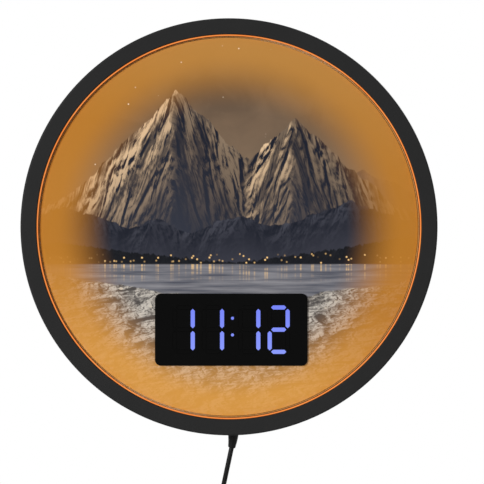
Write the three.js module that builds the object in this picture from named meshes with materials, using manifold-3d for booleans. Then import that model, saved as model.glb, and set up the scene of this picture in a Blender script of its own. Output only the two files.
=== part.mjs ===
// A round digital wall clock: a flat ring frame, a lit line inside it, a picture panel lit from behind,
// a four-digit segment display, push buttons and a battery hatch at the back, and a power lead.
//
// The clock is modelled lying on its back: x to the right, y up the face, z forward from the wall.
// The last group stands it up, so that it hangs on the XZ plane and its face looks along -Y.
// All sizes are in millimetres.

import * as THREE from "three";
import { mergeVertices } from "three/addons/utils/BufferGeometryUtils.js";
import Module from "manifold-3d";

const wasm = await Module();
wasm.setup();

// Clearances
const seatGap = 0.3; // between a piece and what it rests on
const fitGap = 0.3; // round a piece that passes through an opening
const wellGap = 0.2; // round each light bar of the display
const plungerGap = 0.15; // round a switch plunger
const coverGap = 0.4; // between the rear cover and the frame's wall
const columnGap = 0.5; // between a screw column and the light box
const turnGap = 1.1; // between the turns of the coiled lead

// Frame
const caseDiameter = 300;
const frameFaceWidth = 11.4;
const frameWall = 2.4;
const frameFlange = 2.8;
const frameEdgeRadius = 1.4;
const frameLipRadius = 0.5;
const frameSetback = 1.5; // the frame's rear edge stays this far off the wall

// Rear cover
const coverSkin = 2.4;
const coverEdge = 1; // bevel round the rear face
const supportRingWidth = 1.6;
const ribThickness = 1.2;
const ribHeight = 3;
const hubRadius = 18;
const ribAngles = [0, 30, 60, 120, 150, 180];

// Keyhole that hangs on a wall screw
const keyholeInset = 38; // from the top of the case to the top of the slot
const keyholeHead = 9; // diameter of the entry for the screw's head
const keyholeSlot = 5; // width of the slot for its shank
const keyholeRise = 10;
const keyholePocket = 4.8; // room for the head behind the skin
const pocketWall = 1.4;

// Cover screws, and the columns that take them
const coverScrewCount = 6;
const coverScrewHead = 5.2;
const coverScrewHeadHeight = 1.7;
const coverScrewShank = 2.6;
const coverScrewLength = 13;
const screwSetback = 0.25; // how far a head lies below the rear face
const screwEdge = 0.9; // material between a head's recess and the rim of the cover
const bossWall = 0.9;
const bossHeight = 2.6;
const columnDiameter = 6.4;
const columnWeb = 2;

// Light box
const lightLineWidth = 0.9;
const lightLineSetback = 1.2; // below the face of the frame
const ringFootHeight = 2.6;
const ringFootReach = 2.2;
const gasketWidth = 0.7;
const gasketProud = 0.3;
const panelThickness = 2;
const diffuserThickness = 1.5;
const lightBoxDepth = 6.5;
const trayFloor = 1.2;
const trayWall = 1.6;
const stripThickness = 0.5;
const stripHeight = 5;
const stripBreak = 4; // gap between the two ends of the strip
const chipCount = 20;
const chipLength = 3.5;
const chipDepth = 1.2;
const chipHeight = 2.8;

// Display
const displayX = 1.6;
const displayRise = 76; // centre of the display above the foot of the case
const digitWidth = 15.8;
const digitHeight = 34.8;
const digitGap = 5.3;
const colonSpace = 10.3; // between the two inner digits
const segmentWidth = 2.9;
const segmentTipGap = 1; // from a segment's tip to where the centre lines cross
const colonDiameter = 2.1;
const colonShift = 0.9;
const colonUpper = 8.2;
const colonLower = -3.8;
const displaySideMargin = 12.85;
const displayEndMargin = 8.55;
const displayCorner = 4.2;
const displayLip = 1.1;
const lipOverlap = 1.6;
const segmentSetback = 0.15;
const webThickness = 0.8;
const collarWall = 1.2;

// Main board
const boardThickness = 1.6;
const boardOverhang = 4;
const boardCorner = 2;
const ledSize = 1.6;
const ledHeight = 1;
const boardScrewInset = 3.4;
const boardScrewHead = 4.8;
const boardScrewHeadHeight = 1.5;
const boardScrewShank = 2.2;
const boardScrewLength = 7;
const chipBody = { length: 10, width: 6, height: 1.6, x: -34, y: -10 };
const crystal = { diameter: 2, length: 6, x: -18, y: -10 };

// Push buttons and their switches
const buttonNames = ["light", "set", "plus", "minus"];
const buttonDiameter = 7.2;
const buttonRound = 0.6;
const buttonSetback = 0.6; // below the rear face, so that the wall doesn't press it
const buttonFlangeReach = 1.4;
const buttonFlange = 1.1;
const buttonPitch = 14;
const buttonRowX = -23; // middle of the row, from the centre of the display
const buttonRowY = 8;
const buttonTravel = 0.4;
const switchSize = 6;
const switchHeight = 3.1;
const plungerDiameter = 3.4;
const plungerProud = 1.1;
const plungerDepth = 1.4; // how far the plunger reaches into its switch

// Backup cell and its hatch
const cellDiameter = 20;
const cellThickness = 3.2;
const cellCapDiameter = 17;
const cellCapHeight = 0.4;
const holderWall = 1.4;
const holderFloor = 0.8;
const holderX = 28; // from the centre of the display
const holderY = 0;
const hatchMargin = 2.4; // from the cell's edge to the hatch's neck
const hatchFlange = 0.9;
const hatchFlangeReach = 1.6;
const hatchSetback = 0.4;
const hatchLip = 0.8; // skin left for the lugs to grip
const lugThickness = 0.8;
const lugReach = 1.3;
const lugSpan = 36; // degrees
const hatchTurn = 60; // degrees from locked to free
const notchClear = 4; // degrees at each end of a notch
const stopSpan = 8; // degrees
const stopClear = 2; // degrees
const stopReach = 1.4;
const coinSlotLength = 16;
const coinSlotWidth = 1.8;
const coinSlotDepth = 1;

// Socket, plug and lead
const jackX = 3.2;
const jackWidth = 7.4;
const jackLength = 13;
const jackHeight = 6.4;
const jackSetback = 0.7; // behind the frame's wall
const jackCradle = 0.5;
const cradleLength = 8;
const jackPin = 0.8;
const barrelDiameter = 3.5;
const barrelBore = 1.6;
const barrelLength = 9.4;
const bootDiameter = 7.4;
const bootTipDiameter = 5.2;
const bootLength = 12.9;
const bootBend = 12; // degrees to the left
const wireDiameter = 1.4;
const wireSpread = 3.2;
const wirePadRise = 4; // pads of the supply wires, up from the lower edge of the board
const wireRest = 2.2; // how far a wire stands off a face where it turns
const wireHoleInset = 4; // from the lamps to the hole in the tray
const stripWireAngle = -30; // degrees, where the strip is fed
const cordDiameter = 3.5;
const coilInnerRadius = 15.2;
const coilTurns = 11; // whole turns from the start angle
const coilStartAngle = 126.6; // degrees, measured at the coil's axis
const coilEndAngle = 180;
const layerSpiral = 2.5; // turns that a layer spirals in or out
const layerClimb = 0.5; // turns that it takes to climb to the next layer
const tieWidth = 8;
const tieThickness = 1.2;
const tieGap = 0.5;
const tieAngle = -20; // degrees from the top of the coil
const tailLength = 10;
const plugGrip = { width: 15.4, depth: 7.6, corner: 2.2, boot: 7, shoulder: 3, length: 18, round: 0.8 };
const plugBootTop = 5;
const plugBootEnd = 6.6;
const plugShell = { width: 12, depth: 4.5, wall: 0.3, length: 11.8 };
const plugTongue = { width: 11, depth: 1.7, length: 10.5, gap: 0.2 };

// The lead's route from the tip of the boot to the coil: right, up and forward of the tip
const leadRoute = [
  [-0.06, -0.29, 0],
  [-0.42, -1.96, 0],
  [-0.83, -3.91, 0],
  [-1.25, -5.87, 0],
  [-1.66, -7.83, -0.03],
  [-2.49, -11.74, -0.23],
  [-3.33, -15.65, -0.58],
  [-4.16, -19.56, -1.02],
  [-4.99, -23.48, -1.48],
  [-5.72, -26.9, -1.87],
  [-6.41, -29.31, -2.11],
  [-7.43, -31.61, -2.31],
  [-8.76, -33.74, -2.44],
  [-10.38, -35.66, -2.5],
  [-11.76, -36.95, -2.5],
  [-13.0, -37.9, -2.5],
];

// Fineness of the round shapes
const caseSides = 60;
const boxSides = 40; // hidden rings of the light box
const hatchSides = 32;
const roundSides = 16;
const screwSides = 12;
const hiddenSides = 8;
const cordSides = 8;
const coilSides = 6;
const coilStepsPerTurn = 24;
const cornerSides = 4;
const frameEdgeSteps = 3;
const frameLipSteps = 2;
const buttonRoundSteps = 2;
const bootSteps = 5;
const supplyWireSteps = 12;
const stripLeadSteps = 24;
const leadSteps = 18;
const tailSteps = 2;
const cutReach = 1; // how far a cutting shape runs past the face that it cuts
const weldReach = 1e-4; // points closer than this are one

// Radii, from the rim inwards
const caseRadius = caseDiameter / 2;
const wallInner = caseRadius - frameWall;
const coverRadius = wallInner - coverGap;
const faceInner = caseRadius - frameFaceWidth;
const lightLineOuter = faceInner - fitGap;
const lightLineInner = lightLineOuter - lightLineWidth;
const gasketOuter = lightLineInner - fitGap;
const gasketInner = gasketOuter - gasketWidth;
const panelRadius = gasketInner - fitGap;
const lightBoxRadius = lightLineOuter + ringFootReach;
const stripOuter = lightBoxRadius - trayWall - seatGap;
const stripInner = stripOuter - stripThickness;
const stripFlat = stripInner * Math.cos(Math.PI / boxSides); // inside the flats of the faceted strip
const chipInner = stripInner - chipDepth;
const headRecess = coverScrewHead / 2 + fitGap;
const columnCircle = coverRadius - screwEdge - headRecess;

// Levels, from the wall forwards
const screwSeat = screwSetback + coverScrewHeadHeight;
const screwEnd = screwSeat + coverScrewLength;
const screwBoss = coverSkin + bossHeight;
const columnBack = screwBoss + seatGap;
const capInner = coverSkin + seatGap + buttonFlange;
const boardStack =
  seatGap + buttonFlange + seatGap + plungerProud + switchHeight + seatGap + boardThickness + seatGap;
const jackStack = jackCradle + seatGap + jackHeight + seatGap;
const trayBack = coverSkin + Math.max(boardStack, jackStack);
const boardFront = trayBack - seatGap;
const boardBack = boardFront - boardThickness;
const trayFront = trayBack + trayFloor + lightBoxDepth;
const diffuserBack = trayFront + seatGap;
const diffuserFront = diffuserBack + diffuserThickness;
const panelBack = diffuserFront + seatGap;
const panelFront = panelBack + panelThickness;
const flangeBack = panelBack + ringFootHeight + seatGap;
const caseFront = flangeBack + frameFlange;
const lipBack = panelFront + seatGap;
const displayFront = lipBack + displayLip;
const blockBack = boardFront + seatGap;
const webBack = boardFront + ledHeight + seatGap;
const webFront = webBack + webThickness;
const partBack = boardBack - seatGap; // face of the parts soldered to the back of the board
const boardScrewSeat = boardBack - seatGap;
const boardScrewEnd = boardScrewSeat + boardScrewLength;
const plugLevel = coverSkin + jackCradle + seatGap + jackHeight / 2;

// Outline of the display, from its digits
const digitsWidth = 4 * digitWidth + 2 * digitGap + colonSpace;
const displayWidth = digitsWidth + 2 * displaySideMargin;
const displayHeight = digitHeight + 2 * displayEndMargin;
const blockWidth = displayWidth - 2 * lipOverlap;
const blockHeight = displayHeight - 2 * lipOverlap;
const blockCorner = Math.max(displayCorner - lipOverlap, fitGap);
const boardWidth = blockWidth + 2 * boardOverhang;
const boardHeight = blockHeight + 2 * boardOverhang;
const displayY = displayRise - caseRadius;
const boardScrewX = blockWidth / 2 - boardScrewInset;
const boardScrewY = blockHeight / 2 - boardScrewInset;
const boardScrewPlaces = [-1, 1].flatMap((sx) =>
  [-1, 1].map((sy) => [displayX + sx * boardScrewX, displayY + sy * boardScrewY]),
);

// Hatch, round the cell
const hatchX = displayX + holderX;
const hatchY = displayY + holderY;
const hatchNeck = cellDiameter / 2 + hatchMargin;
const hatchRadius = hatchNeck + hatchFlangeReach;
const cellFront = partBack - holderFloor - seatGap;
const cellBack = cellFront - cellThickness;
const hatchInner = cellBack - seatGap;
const lugBack = coverSkin + seatGap;
const lugOuter = hatchNeck + lugReach;
const hatchSeat = coverSkin - hatchLip;

// Coil of the lead
const cordRadius = cordDiameter / 2;
const turnPitch = cordDiameter + turnGap;
const coilOuterRadius = coilInnerRadius + turnPitch * layerSpiral;
const layerTurns = layerSpiral + layerClimb;
const coilTotalTurns = coilTurns + (coilEndAngle - coilStartAngle) / 360;
const coilLayers = Math.ceil(coilTotalTurns / layerTurns);

const radians = THREE.MathUtils.degToRad;

// Materials
const finish = (color, roughness, metalness = 0) =>
  new THREE.MeshStandardMaterial({ color, roughness, metalness });
const charcoalPlastic = finish(0x2b2b2b, 0.62);
const blackPlastic = finish(0x0d0d0d, 0.25);
const rearPlastic = finish(0x232323, 0.7);
const amberAcrylic = finish(0xf08a3c, 0.35);
const gasketFoam = finish(0xa4845c, 0.95);
const tieFabric = finish(0x161616, 0.95);
const printedAcrylic = finish(0xb08a5c, 0.4);
const opalSheet = finish(0xf2efe8, 0.6);
const whitePlastic = finish(0xf5f5f2, 0.5);
const segmentResin = finish(0x8494ff, 0.4);
const boardLaminate = finish(0x1f5a36, 0.5);
const chipEpoxy = finish(0x1b1b1d, 0.6);
const stripTape = finish(0xf0ead8, 0.5);
const steel = finish(0xb9bcc0, 0.3, 1);
const blackRubber = finish(0x141414, 0.75);
const redWire = finish(0xb3261e, 0.5);
const blackWire = finish(0x151515, 0.5);
const ivoryPlastic = finish(0xe9e4d6, 0.5);

// Outlines

function circleOutline(radius, sides, x = 0, y = 0) {
  const turn = (i) => (i / sides) * 2 * Math.PI;
  return Array.from(
    { length: sides },
    (_, i) => new THREE.Vector2(x + radius * Math.cos(turn(i)), y + radius * Math.sin(turn(i))),
  );
}

function arcPoints(x, y, radius, from, to, steps) {
  const angle = (i) => radians(from + ((to - from) * i) / steps);
  return Array.from(
    { length: steps + 1 },
    (_, i) => new THREE.Vector2(x + radius * Math.cos(angle(i)), y + radius * Math.sin(angle(i))),
  );
}

function roundedOutline(width, height, corner, x = 0, y = 0) {
  const across = width / 2 - corner;
  const up = height / 2 - corner;
  return [
    ...arcPoints(x + across, y + up, corner, 0, 90, cornerSides),
    ...arcPoints(x - across, y + up, corner, 90, 180, cornerSides),
    ...arcPoints(x - across, y - up, corner, 180, 270, cornerSides),
    ...arcPoints(x + across, y - up, corner, 270, 360, cornerSides),
  ];
}

function sectorOutline(inner, outer, middle, span, x, y) {
  const from = middle - span / 2;
  const to = middle + span / 2;
  const steps = Math.ceil(span / (360 / hatchSides));
  return [...arcPoints(x, y, outer, from, to, steps), ...arcPoints(x, y, inner, to, from, steps)];
}

// A segment of a digit: a bar with pointed ends, upright or lying
function segmentOutline(x, y, length, width, upright) {
  const reach = length / 2;
  const half = width / 2;
  const along = [
    [reach, 0],
    [reach - half, half],
    [half - reach, half],
    [-reach, 0],
    [half - reach, -half],
    [reach - half, -half],
  ];
  return along.map(([u, v]) => (upright ? new THREE.Vector2(x - v, y + u) : new THREE.Vector2(x + u, y + v)));
}

// Solids

function solidOf(geometry) {
  const bare = new THREE.BufferGeometry();
  bare.setAttribute("position", geometry.getAttribute("position"));
  if (geometry.index) bare.setIndex(geometry.index);
  const merged = mergeVertices(bare, weldReach);
  return new wasm.Manifold(
    new wasm.Mesh({
      numProp: 3,
      vertProperties: new Float32Array(merged.getAttribute("position").array),
      triVerts: new Uint32Array(merged.index.array),
    }),
  );
}

function geometryOf(solid) {
  const mesh = solid.getMesh();
  const geometry = new THREE.BufferGeometry();
  geometry.setAttribute("position", new THREE.BufferAttribute(mesh.vertProperties, 3));
  geometry.setIndex(new THREE.BufferAttribute(mesh.triVerts, 1));
  geometry.computeVertexNormals();
  return geometry;
}

const join = (first, ...others) => others.reduce((solid, other) => solid.add(other), first);
const cut = (first, ...others) => others.reduce((solid, other) => solid.subtract(other), first);

// An outline, with any holes, extruded from one level to another
function slab(outline, from, to, holes = []) {
  const shape = new THREE.Shape(outline);
  shape.holes = holes.map((hole) => new THREE.Path(hole));
  const geometry = new THREE.ExtrudeGeometry(shape, { depth: to - from, bevelEnabled: false });
  return solidOf(geometry.translate(0, 0, from));
}

// A profile of [radius, level] pairs turned about the clock's own axis, or one beside it
function turned(profile, sides, x = 0, y = 0) {
  const points = profile.map(([radius, level]) => new THREE.Vector2(radius, level));
  const onAxis = profile[0][0] === 0;
  if (!onAxis) points.push(points[0].clone());
  const geometry = new THREE.LatheGeometry(points, sides);
  return solidOf(geometry.rotateX(Math.PI / 2).translate(x, y, 0));
}

const disc = (radius, from, to, sides, x = 0, y = 0) => slab(circleOutline(radius, sides, x, y), from, to);

const tubeRing = (inner, outer, from, to, sides, x = 0, y = 0) =>
  slab(circleOutline(outer, sides, x, y), from, to, [circleOutline(inner, sides, x, y)]);

function block(x, y, width, height, from, to) {
  const geometry = new THREE.BoxGeometry(width, height, to - from);
  return solidOf(geometry.translate(x, y, (from + to) / 2));
}

// A bar that lies along a radius of the clock
function radialBar(angle, inner, outer, width, from, to) {
  const geometry = new THREE.BoxGeometry(outer - inner, width, to - from);
  geometry.translate((inner + outer) / 2, 0, (from + to) / 2).rotateZ(radians(angle));
  return solidOf(geometry);
}

// A round bar that stands along y
function uprightBar(radius, fromY, toY, x, level, sides) {
  const geometry = new THREE.CylinderGeometry(radius, radius, toY - fromY, sides);
  return solidOf(geometry.translate(x, (fromY + toY) / 2, level));
}

const onCircle = (radius, angle) => [radius * Math.cos(radians(angle)), radius * Math.sin(radians(angle))];

// A tube of round section along a curve
function tubeAlong(curve, diameter, sides, steps) {
  const section = new THREE.Shape(circleOutline(diameter / 2, sides));
  return new THREE.ExtrudeGeometry(section, { steps, extrudePath: curve, bevelEnabled: false });
}

// A closed skin through a row of matching outlines. Each station has a centre, a lean to the left and an
// outline across the way that it runs, which is down the page when it doesn't lean.
function loft(stations) {
  const rings = stations.map(({ x, y, level, lean, outline }) =>
    outline.map(({ x: across, y: forward }) => [
      x + across * Math.cos(lean),
      y - across * Math.sin(lean),
      level + forward,
    ]),
  );
  const count = rings[0].length;
  const positions = rings.flat(2);
  const triangles = [];
  rings.slice(1).forEach((_, i) => {
    for (let j = 0; j < count; j++) {
      const [a, b] = [i * count + j, i * count + ((j + 1) % count)];
      triangles.push(a, b, a + count, b, b + count, a + count);
    }
  });
  const last = (rings.length - 1) * count;
  for (let j = 1; j < count - 1; j++) {
    triangles.push(0, j + 1, j);
    triangles.push(last, last + j, last + j + 1);
  }
  const geometry = new THREE.BufferGeometry();
  geometry.setAttribute("position", new THREE.Float32BufferAttribute(positions, 3));
  geometry.setIndex(triangles);
  return geometry;
}

// The groups: clock holds everything in the lying frame, and wallClock stands it up
const wallClock = new THREE.Group();
const clock = new THREE.Group();
clock.rotation.x = Math.PI / 2;
wallClock.add(clock);

function place(name, shape, material, group = clock) {
  const geometry = shape.isBufferGeometry ? shape : geometryOf(shape);
  const mesh = new THREE.Mesh(geometry, material);
  mesh.name = name;
  group.add(mesh);
  return mesh;
}

// Frame

const screwAngles = Array.from({ length: coverScrewCount }, (_, i) => (i * 360) / coverScrewCount);
const screwPlaces = screwAngles.map((angle) => onCircle(columnCircle, angle));
const columnRadius = columnDiameter / 2;

// What the light box and the cover's ring leave free round each column
const columnWays = screwPlaces.map(([x, y]) =>
  disc(columnRadius + columnGap, columnBack - seatGap, flangeBack, screwSides, x, y),
);

function frontFrame() {
  const edgeX = caseRadius - frameEdgeRadius;
  const edge = arcPoints(edgeX, caseFront - frameEdgeRadius, frameEdgeRadius, 0, 90, frameEdgeSteps);
  const lipX = faceInner + frameLipRadius;
  const lip = arcPoints(lipX, caseFront - frameLipRadius, frameLipRadius, 90, 180, frameLipSteps);
  const ring = turned(
    [
      [caseRadius, frameSetback],
      ...edge.map(({ x, y }) => [x, y]),
      ...lip.map(({ x, y }) => [x, y]),
      [faceInner, flangeBack],
      [wallInner, flangeBack],
      [wallInner, frameSetback],
    ],
    caseSides,
  );
  const sunk = frameFlange / 2;
  const columns = screwPlaces.map(([x, y]) =>
    disc(columnRadius, columnBack, flangeBack + sunk, screwSides, x, y),
  );
  const webs = screwAngles.map((angle) =>
    radialBar(angle, columnCircle, wallInner + frameWall / 2, columnWeb, columnBack, flangeBack + sunk),
  );
  const pilots = screwPlaces.map(([x, y]) =>
    disc(coverScrewShank / 2 + fitGap, columnBack - cutReach, screwEnd + fitGap, hiddenSides, x, y),
  );
  const plugWay = uprightBar(
    bootDiameter / 2 + fitGap,
    -caseRadius - cutReach,
    -wallInner + cutReach,
    jackX,
    plugLevel,
    roundSides,
  );
  return cut(join(ring, ...columns, ...webs), ...pilots, plugWay);
}

place("front_frame", frontFrame(), charcoalPlastic);

// Light box

const displayHole = roundedOutline(
  blockWidth + 2 * fitGap,
  blockHeight + 2 * fitGap,
  blockCorner + fitGap,
  displayX,
  displayY,
);

const wireHolePlace = onCircle(chipInner - wireHoleInset, stripWireAngle);

function lightRing() {
  const ring = turned(
    [
      [lightLineInner, panelBack],
      [lightBoxRadius, panelBack],
      [lightBoxRadius, panelBack + ringFootHeight],
      [lightLineOuter, panelBack + ringFootHeight],
      [lightLineOuter, caseFront - lightLineSetback],
      [lightLineInner, caseFront - lightLineSetback],
    ],
    caseSides,
  );
  return cut(ring, ...columnWays);
}

function reflectorTray() {
  const dish = turned(
    [
      [0, trayBack],
      [lightBoxRadius, trayBack],
      [lightBoxRadius, trayFront],
      [lightBoxRadius - trayWall, trayFront],
      [lightBoxRadius - trayWall, trayBack + trayFloor],
      [0, trayBack + trayFloor],
    ],
    boxSides,
  );
  const collar = slab(
    roundedOutline(
      blockWidth + 2 * (fitGap + collarWall),
      blockHeight + 2 * (fitGap + collarWall),
      blockCorner + fitGap + collarWall,
      displayX,
      displayY,
    ),
    trayBack,
    trayFront,
  );
  const opening = slab(displayHole, trayBack - cutReach, trayFront + cutReach);
  const holeRadius = wireDiameter / 2 + fitGap;
  const wireHole = disc(holeRadius, trayBack - cutReach, trayFront, hiddenSides, ...wireHolePlace);
  return cut(join(dish, collar), opening, wireHole, ...columnWays);
}

function ledStrip() {
  const middle = (trayBack + trayFloor + trayFront) / 2;
  const band = tubeRing(stripInner, stripOuter, middle - stripHeight / 2, middle + stripHeight / 2, boxSides);
  const step = 360 / chipCount;
  const chips = Array.from({ length: chipCount }, (_, i) =>
    radialBar(
      (i + 0.5) * step,
      chipInner,
      stripOuter - stripThickness / 2,
      chipLength,
      middle - chipHeight / 2,
      middle + chipHeight / 2,
    ),
  );
  const ends = radialBar(-90, chipInner, lightBoxRadius, stripBreak, trayBack, trayFront);
  return cut(join(band, ...chips), ends);
}

place("light_ring", lightRing(), amberAcrylic);
place(
  "panel_gasket",
  tubeRing(gasketInner, gasketOuter, panelBack, panelFront + gasketProud, caseSides),
  gasketFoam,
);
place(
  "picture_panel",
  slab(circleOutline(panelRadius, caseSides), panelBack, panelFront, [displayHole]),
  printedAcrylic,
);
place(
  "diffuser_sheet",
  cut(
    slab(circleOutline(lightBoxRadius, boxSides), diffuserBack, diffuserFront, [displayHole]),
    ...columnWays,
  ),
  opalSheet,
);
place("reflector_tray", reflectorTray(), whitePlastic);
place("led_strip", ledStrip(), stripTape);

// Display

const innerDigit = (colonSpace + digitWidth) / 2;
const outerDigit = innerDigit + digitWidth + digitGap;
const digits = [
  ["hour_tens_segments", displayX - outerDigit],
  ["hour_units_segments", displayX - innerDigit],
  ["minute_tens_segments", displayX + innerDigit],
  ["minute_units_segments", displayX + outerDigit],
];
const dots = [colonUpper, colonLower].map((rise) => [displayX + colonShift, displayY + rise]);
const dotsX = displayX + colonShift;
const dotsY = displayY + (colonUpper + colonLower) / 2;
const dotsWidth = 2 * colonDiameter;
const dotsHeight = colonUpper - colonLower + 2 * colonDiameter;

// The seven bars of a digit, in the order a to g: place, length and whether it stands
function digitBars(x) {
  const across = (digitWidth - segmentWidth) / 2;
  const up = (digitHeight - segmentWidth) / 2;
  const flat = 2 * (across - segmentTipGap);
  const tall = up - 2 * segmentTipGap;
  return [
    [x, displayY + up, flat, false],
    [x + across, displayY + up / 2, tall, true],
    [x + across, displayY - up / 2, tall, true],
    [x, displayY - up, flat, false],
    [x - across, displayY - up / 2, tall, true],
    [x - across, displayY + up / 2, tall, true],
    [x, displayY, flat, false],
  ];
}

function digitInsert(x) {
  const web = block(x, displayY, digitWidth, digitHeight, webBack, webFront);
  const bars = digitBars(x).map(([barX, barY, length, upright]) =>
    slab(segmentOutline(barX, barY, length, segmentWidth, upright), webBack, displayFront - segmentSetback),
  );
  return join(web, ...bars);
}

function colonInsert() {
  const web = block(dotsX, dotsY, dotsWidth, dotsHeight, webBack, webFront);
  const pegs = dots.map(([x, y]) =>
    disc(colonDiameter / 2, webBack, displayFront - segmentSetback, hiddenSides, x, y),
  );
  return join(web, ...pegs);
}

// The moulded block: a lip over the panel, light wells for the bars, and pockets for the webs behind them
function displayBlock() {
  const body = slab(
    roundedOutline(blockWidth, blockHeight, blockCorner, displayX, displayY),
    blockBack,
    displayFront,
  );
  const lip = slab(
    roundedOutline(displayWidth, displayHeight, displayCorner, displayX, displayY),
    lipBack,
    displayFront,
  );
  const pocketBack = blockBack - cutReach;
  const pocketFront = webFront + seatGap;
  const wellEnd = displayFront + cutReach;
  const growth = 2 * wellGap;
  const hollows = digits.flatMap(([, x]) => [
    block(x, displayY, digitWidth + growth, digitHeight + growth, pocketBack, pocketFront),
    ...digitBars(x).map(([barX, barY, length, upright]) =>
      slab(
        segmentOutline(barX, barY, length + growth * Math.SQRT2, segmentWidth + growth, upright),
        webFront,
        wellEnd,
      ),
    ),
  ]);
  const dotPocket = block(dotsX, dotsY, dotsWidth + growth, dotsHeight + growth, pocketBack, pocketFront);
  const dotWells = dots.map(([x, y]) =>
    disc(colonDiameter / 2 + wellGap, webFront, wellEnd, hiddenSides, x, y),
  );
  const pilots = boardScrewPlaces.map(([x, y]) =>
    disc(boardScrewShank / 2 + fitGap, pocketBack, boardScrewEnd + fitGap, hiddenSides, x, y),
  );
  return cut(join(body, lip), ...hollows, dotPocket, ...dotWells, ...pilots);
}

place("display_block", displayBlock(), blackPlastic);
digits.forEach(([name, x]) => place(name, digitInsert(x), segmentResin));
place("colon_dots", colonInsert(), segmentResin);

// Main board and what is soldered to it

function mainBoard() {
  const sheet = slab(
    roundedOutline(boardWidth, boardHeight, boardCorner, displayX, displayY),
    boardBack,
    boardFront,
    boardScrewPlaces.map(([x, y]) => circleOutline(boardScrewShank / 2 + fitGap, hiddenSides, x, y)),
  );
  const barPlaces = digits.flatMap(([, x]) => digitBars(x).map(([barX, barY]) => [barX, barY]));
  const lamps = [...barPlaces, ...dots].map(([x, y]) =>
    block(x, y, ledSize, ledSize, boardFront - boardThickness / 2, boardFront + ledHeight),
  );
  return join(sheet, ...lamps);
}

place("main_board", mainBoard(), boardLaminate);
place(
  "microcontroller",
  block(
    displayX + chipBody.x,
    displayY + chipBody.y,
    chipBody.length,
    chipBody.width,
    partBack - chipBody.height,
    partBack,
  ),
  chipEpoxy,
);

function crystalCan() {
  const radius = crystal.diameter / 2;
  const x = displayX + crystal.x;
  const from = displayY + crystal.y - crystal.length / 2;
  return uprightBar(radius, from, from + crystal.length, x, partBack - radius, hiddenSides);
}

place("quartz_crystal", crystalCan(), steel);

// Cell holder, cell and hatch

place(
  "cell_holder",
  turned(
    [
      [0, partBack - holderFloor],
      [cellDiameter / 2 + fitGap, partBack - holderFloor],
      [cellDiameter / 2 + fitGap, cellBack + cellCapHeight],
      [cellDiameter / 2 + fitGap + holderWall, cellBack + cellCapHeight],
      [cellDiameter / 2 + fitGap + holderWall, partBack],
      [0, partBack],
    ],
    hatchSides,
    hatchX,
    hatchY,
  ),
  blackPlastic,
);
place(
  "backup_cell",
  turned(
    [
      [0, cellBack],
      [cellDiameter / 2, cellBack],
      [cellDiameter / 2, cellFront - cellCapHeight],
      [cellCapDiameter / 2, cellFront - cellCapHeight],
      [cellCapDiameter / 2, cellFront],
      [0, cellFront],
    ],
    hatchSides,
    hatchX,
    hatchY,
  ),
  steel,
);

// The hatch turns anticlockwise as seen from behind, so the lugs travel the other way round in this frame
function batteryHatch() {
  const body = turned(
    [
      [0, hatchSetback],
      [hatchRadius, hatchSetback],
      [hatchRadius, hatchSetback + hatchFlange],
      [hatchNeck, hatchSetback + hatchFlange],
      [hatchNeck, hatchInner],
      [0, hatchInner],
    ],
    hatchSides,
    hatchX,
    hatchY,
  );
  const lugs = [0, 180].map((angle) =>
    slab(
      sectorOutline(hatchNeck - lugReach, lugOuter, angle, lugSpan, hatchX, hatchY),
      lugBack,
      lugBack + lugThickness,
    ),
  );
  const coinSlot = block(
    hatchX,
    hatchY,
    coinSlotWidth,
    coinSlotLength,
    hatchSetback - cutReach,
    hatchSetback + coinSlotDepth,
  );
  return cut(join(body, ...lugs), coinSlot);
}

place("battery_hatch", batteryHatch(), rearPlastic);

// Buttons

const buttonRadius = buttonDiameter / 2;
const buttonPlaces = buttonNames.map((_, i) => [
  displayX + buttonRowX + (i - (buttonNames.length - 1) / 2) * buttonPitch,
  displayY + buttonRowY,
]);

function buttonCap(x, y) {
  const crownX = buttonRadius - buttonRound;
  const crown = arcPoints(crownX, buttonSetback + buttonRound, buttonRound, -90, 0, buttonRoundSteps);
  return turned(
    [
      [0, buttonSetback],
      ...crown.map((point) => [point.x, point.y]),
      [buttonRadius, coverSkin + seatGap],
      [buttonRadius + buttonFlangeReach, coverSkin + seatGap],
      [buttonRadius + buttonFlangeReach, capInner],
      [0, capInner],
    ],
    roundSides,
    x,
    y,
  );
}

function switchBody(x, y) {
  const bore = disc(
    plungerDiameter / 2 + plungerGap,
    partBack - switchHeight - cutReach,
    partBack - switchHeight + plungerDepth + buttonTravel + seatGap,
    hiddenSides,
    x,
    y,
  );
  return cut(block(x, y, switchSize, switchSize, partBack - switchHeight, partBack), bore);
}

buttonNames.forEach((name, i) => {
  const [x, y] = buttonPlaces[i];
  const plungerEnd = partBack - switchHeight + plungerDepth;
  const plunger = disc(plungerDiameter / 2, capInner + seatGap, plungerEnd, hiddenSides, x, y);
  place(`${name}_switch`, switchBody(x, y), blackPlastic);
  place(`${name}_plunger`, plunger, ivoryPlastic);
  place(`${name}_button`, buttonCap(x, y), rearPlastic);
});

// Screws: a domed head towards the wall and a plain shank

function screw(x, y, headBack, headHeight, headDiameter, shankDiameter, length, sides) {
  const seat = headBack + headHeight;
  return turned(
    [
      [0, headBack],
      [headDiameter / 4, headBack],
      [headDiameter / 2, headBack + headHeight / 2],
      [headDiameter / 2, seat],
      [shankDiameter / 2, seat],
      [shankDiameter / 2, seat + length],
      [0, seat + length],
    ],
    sides,
    x,
    y,
  );
}

screwPlaces.forEach(([x, y], i) => {
  const shape = screw(
    x,
    y,
    screwSetback,
    coverScrewHeadHeight,
    coverScrewHead,
    coverScrewShank,
    coverScrewLength,
    screwSides,
  );
  place(`cover_screw_${i + 1}`, shape, steel);
});

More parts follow.
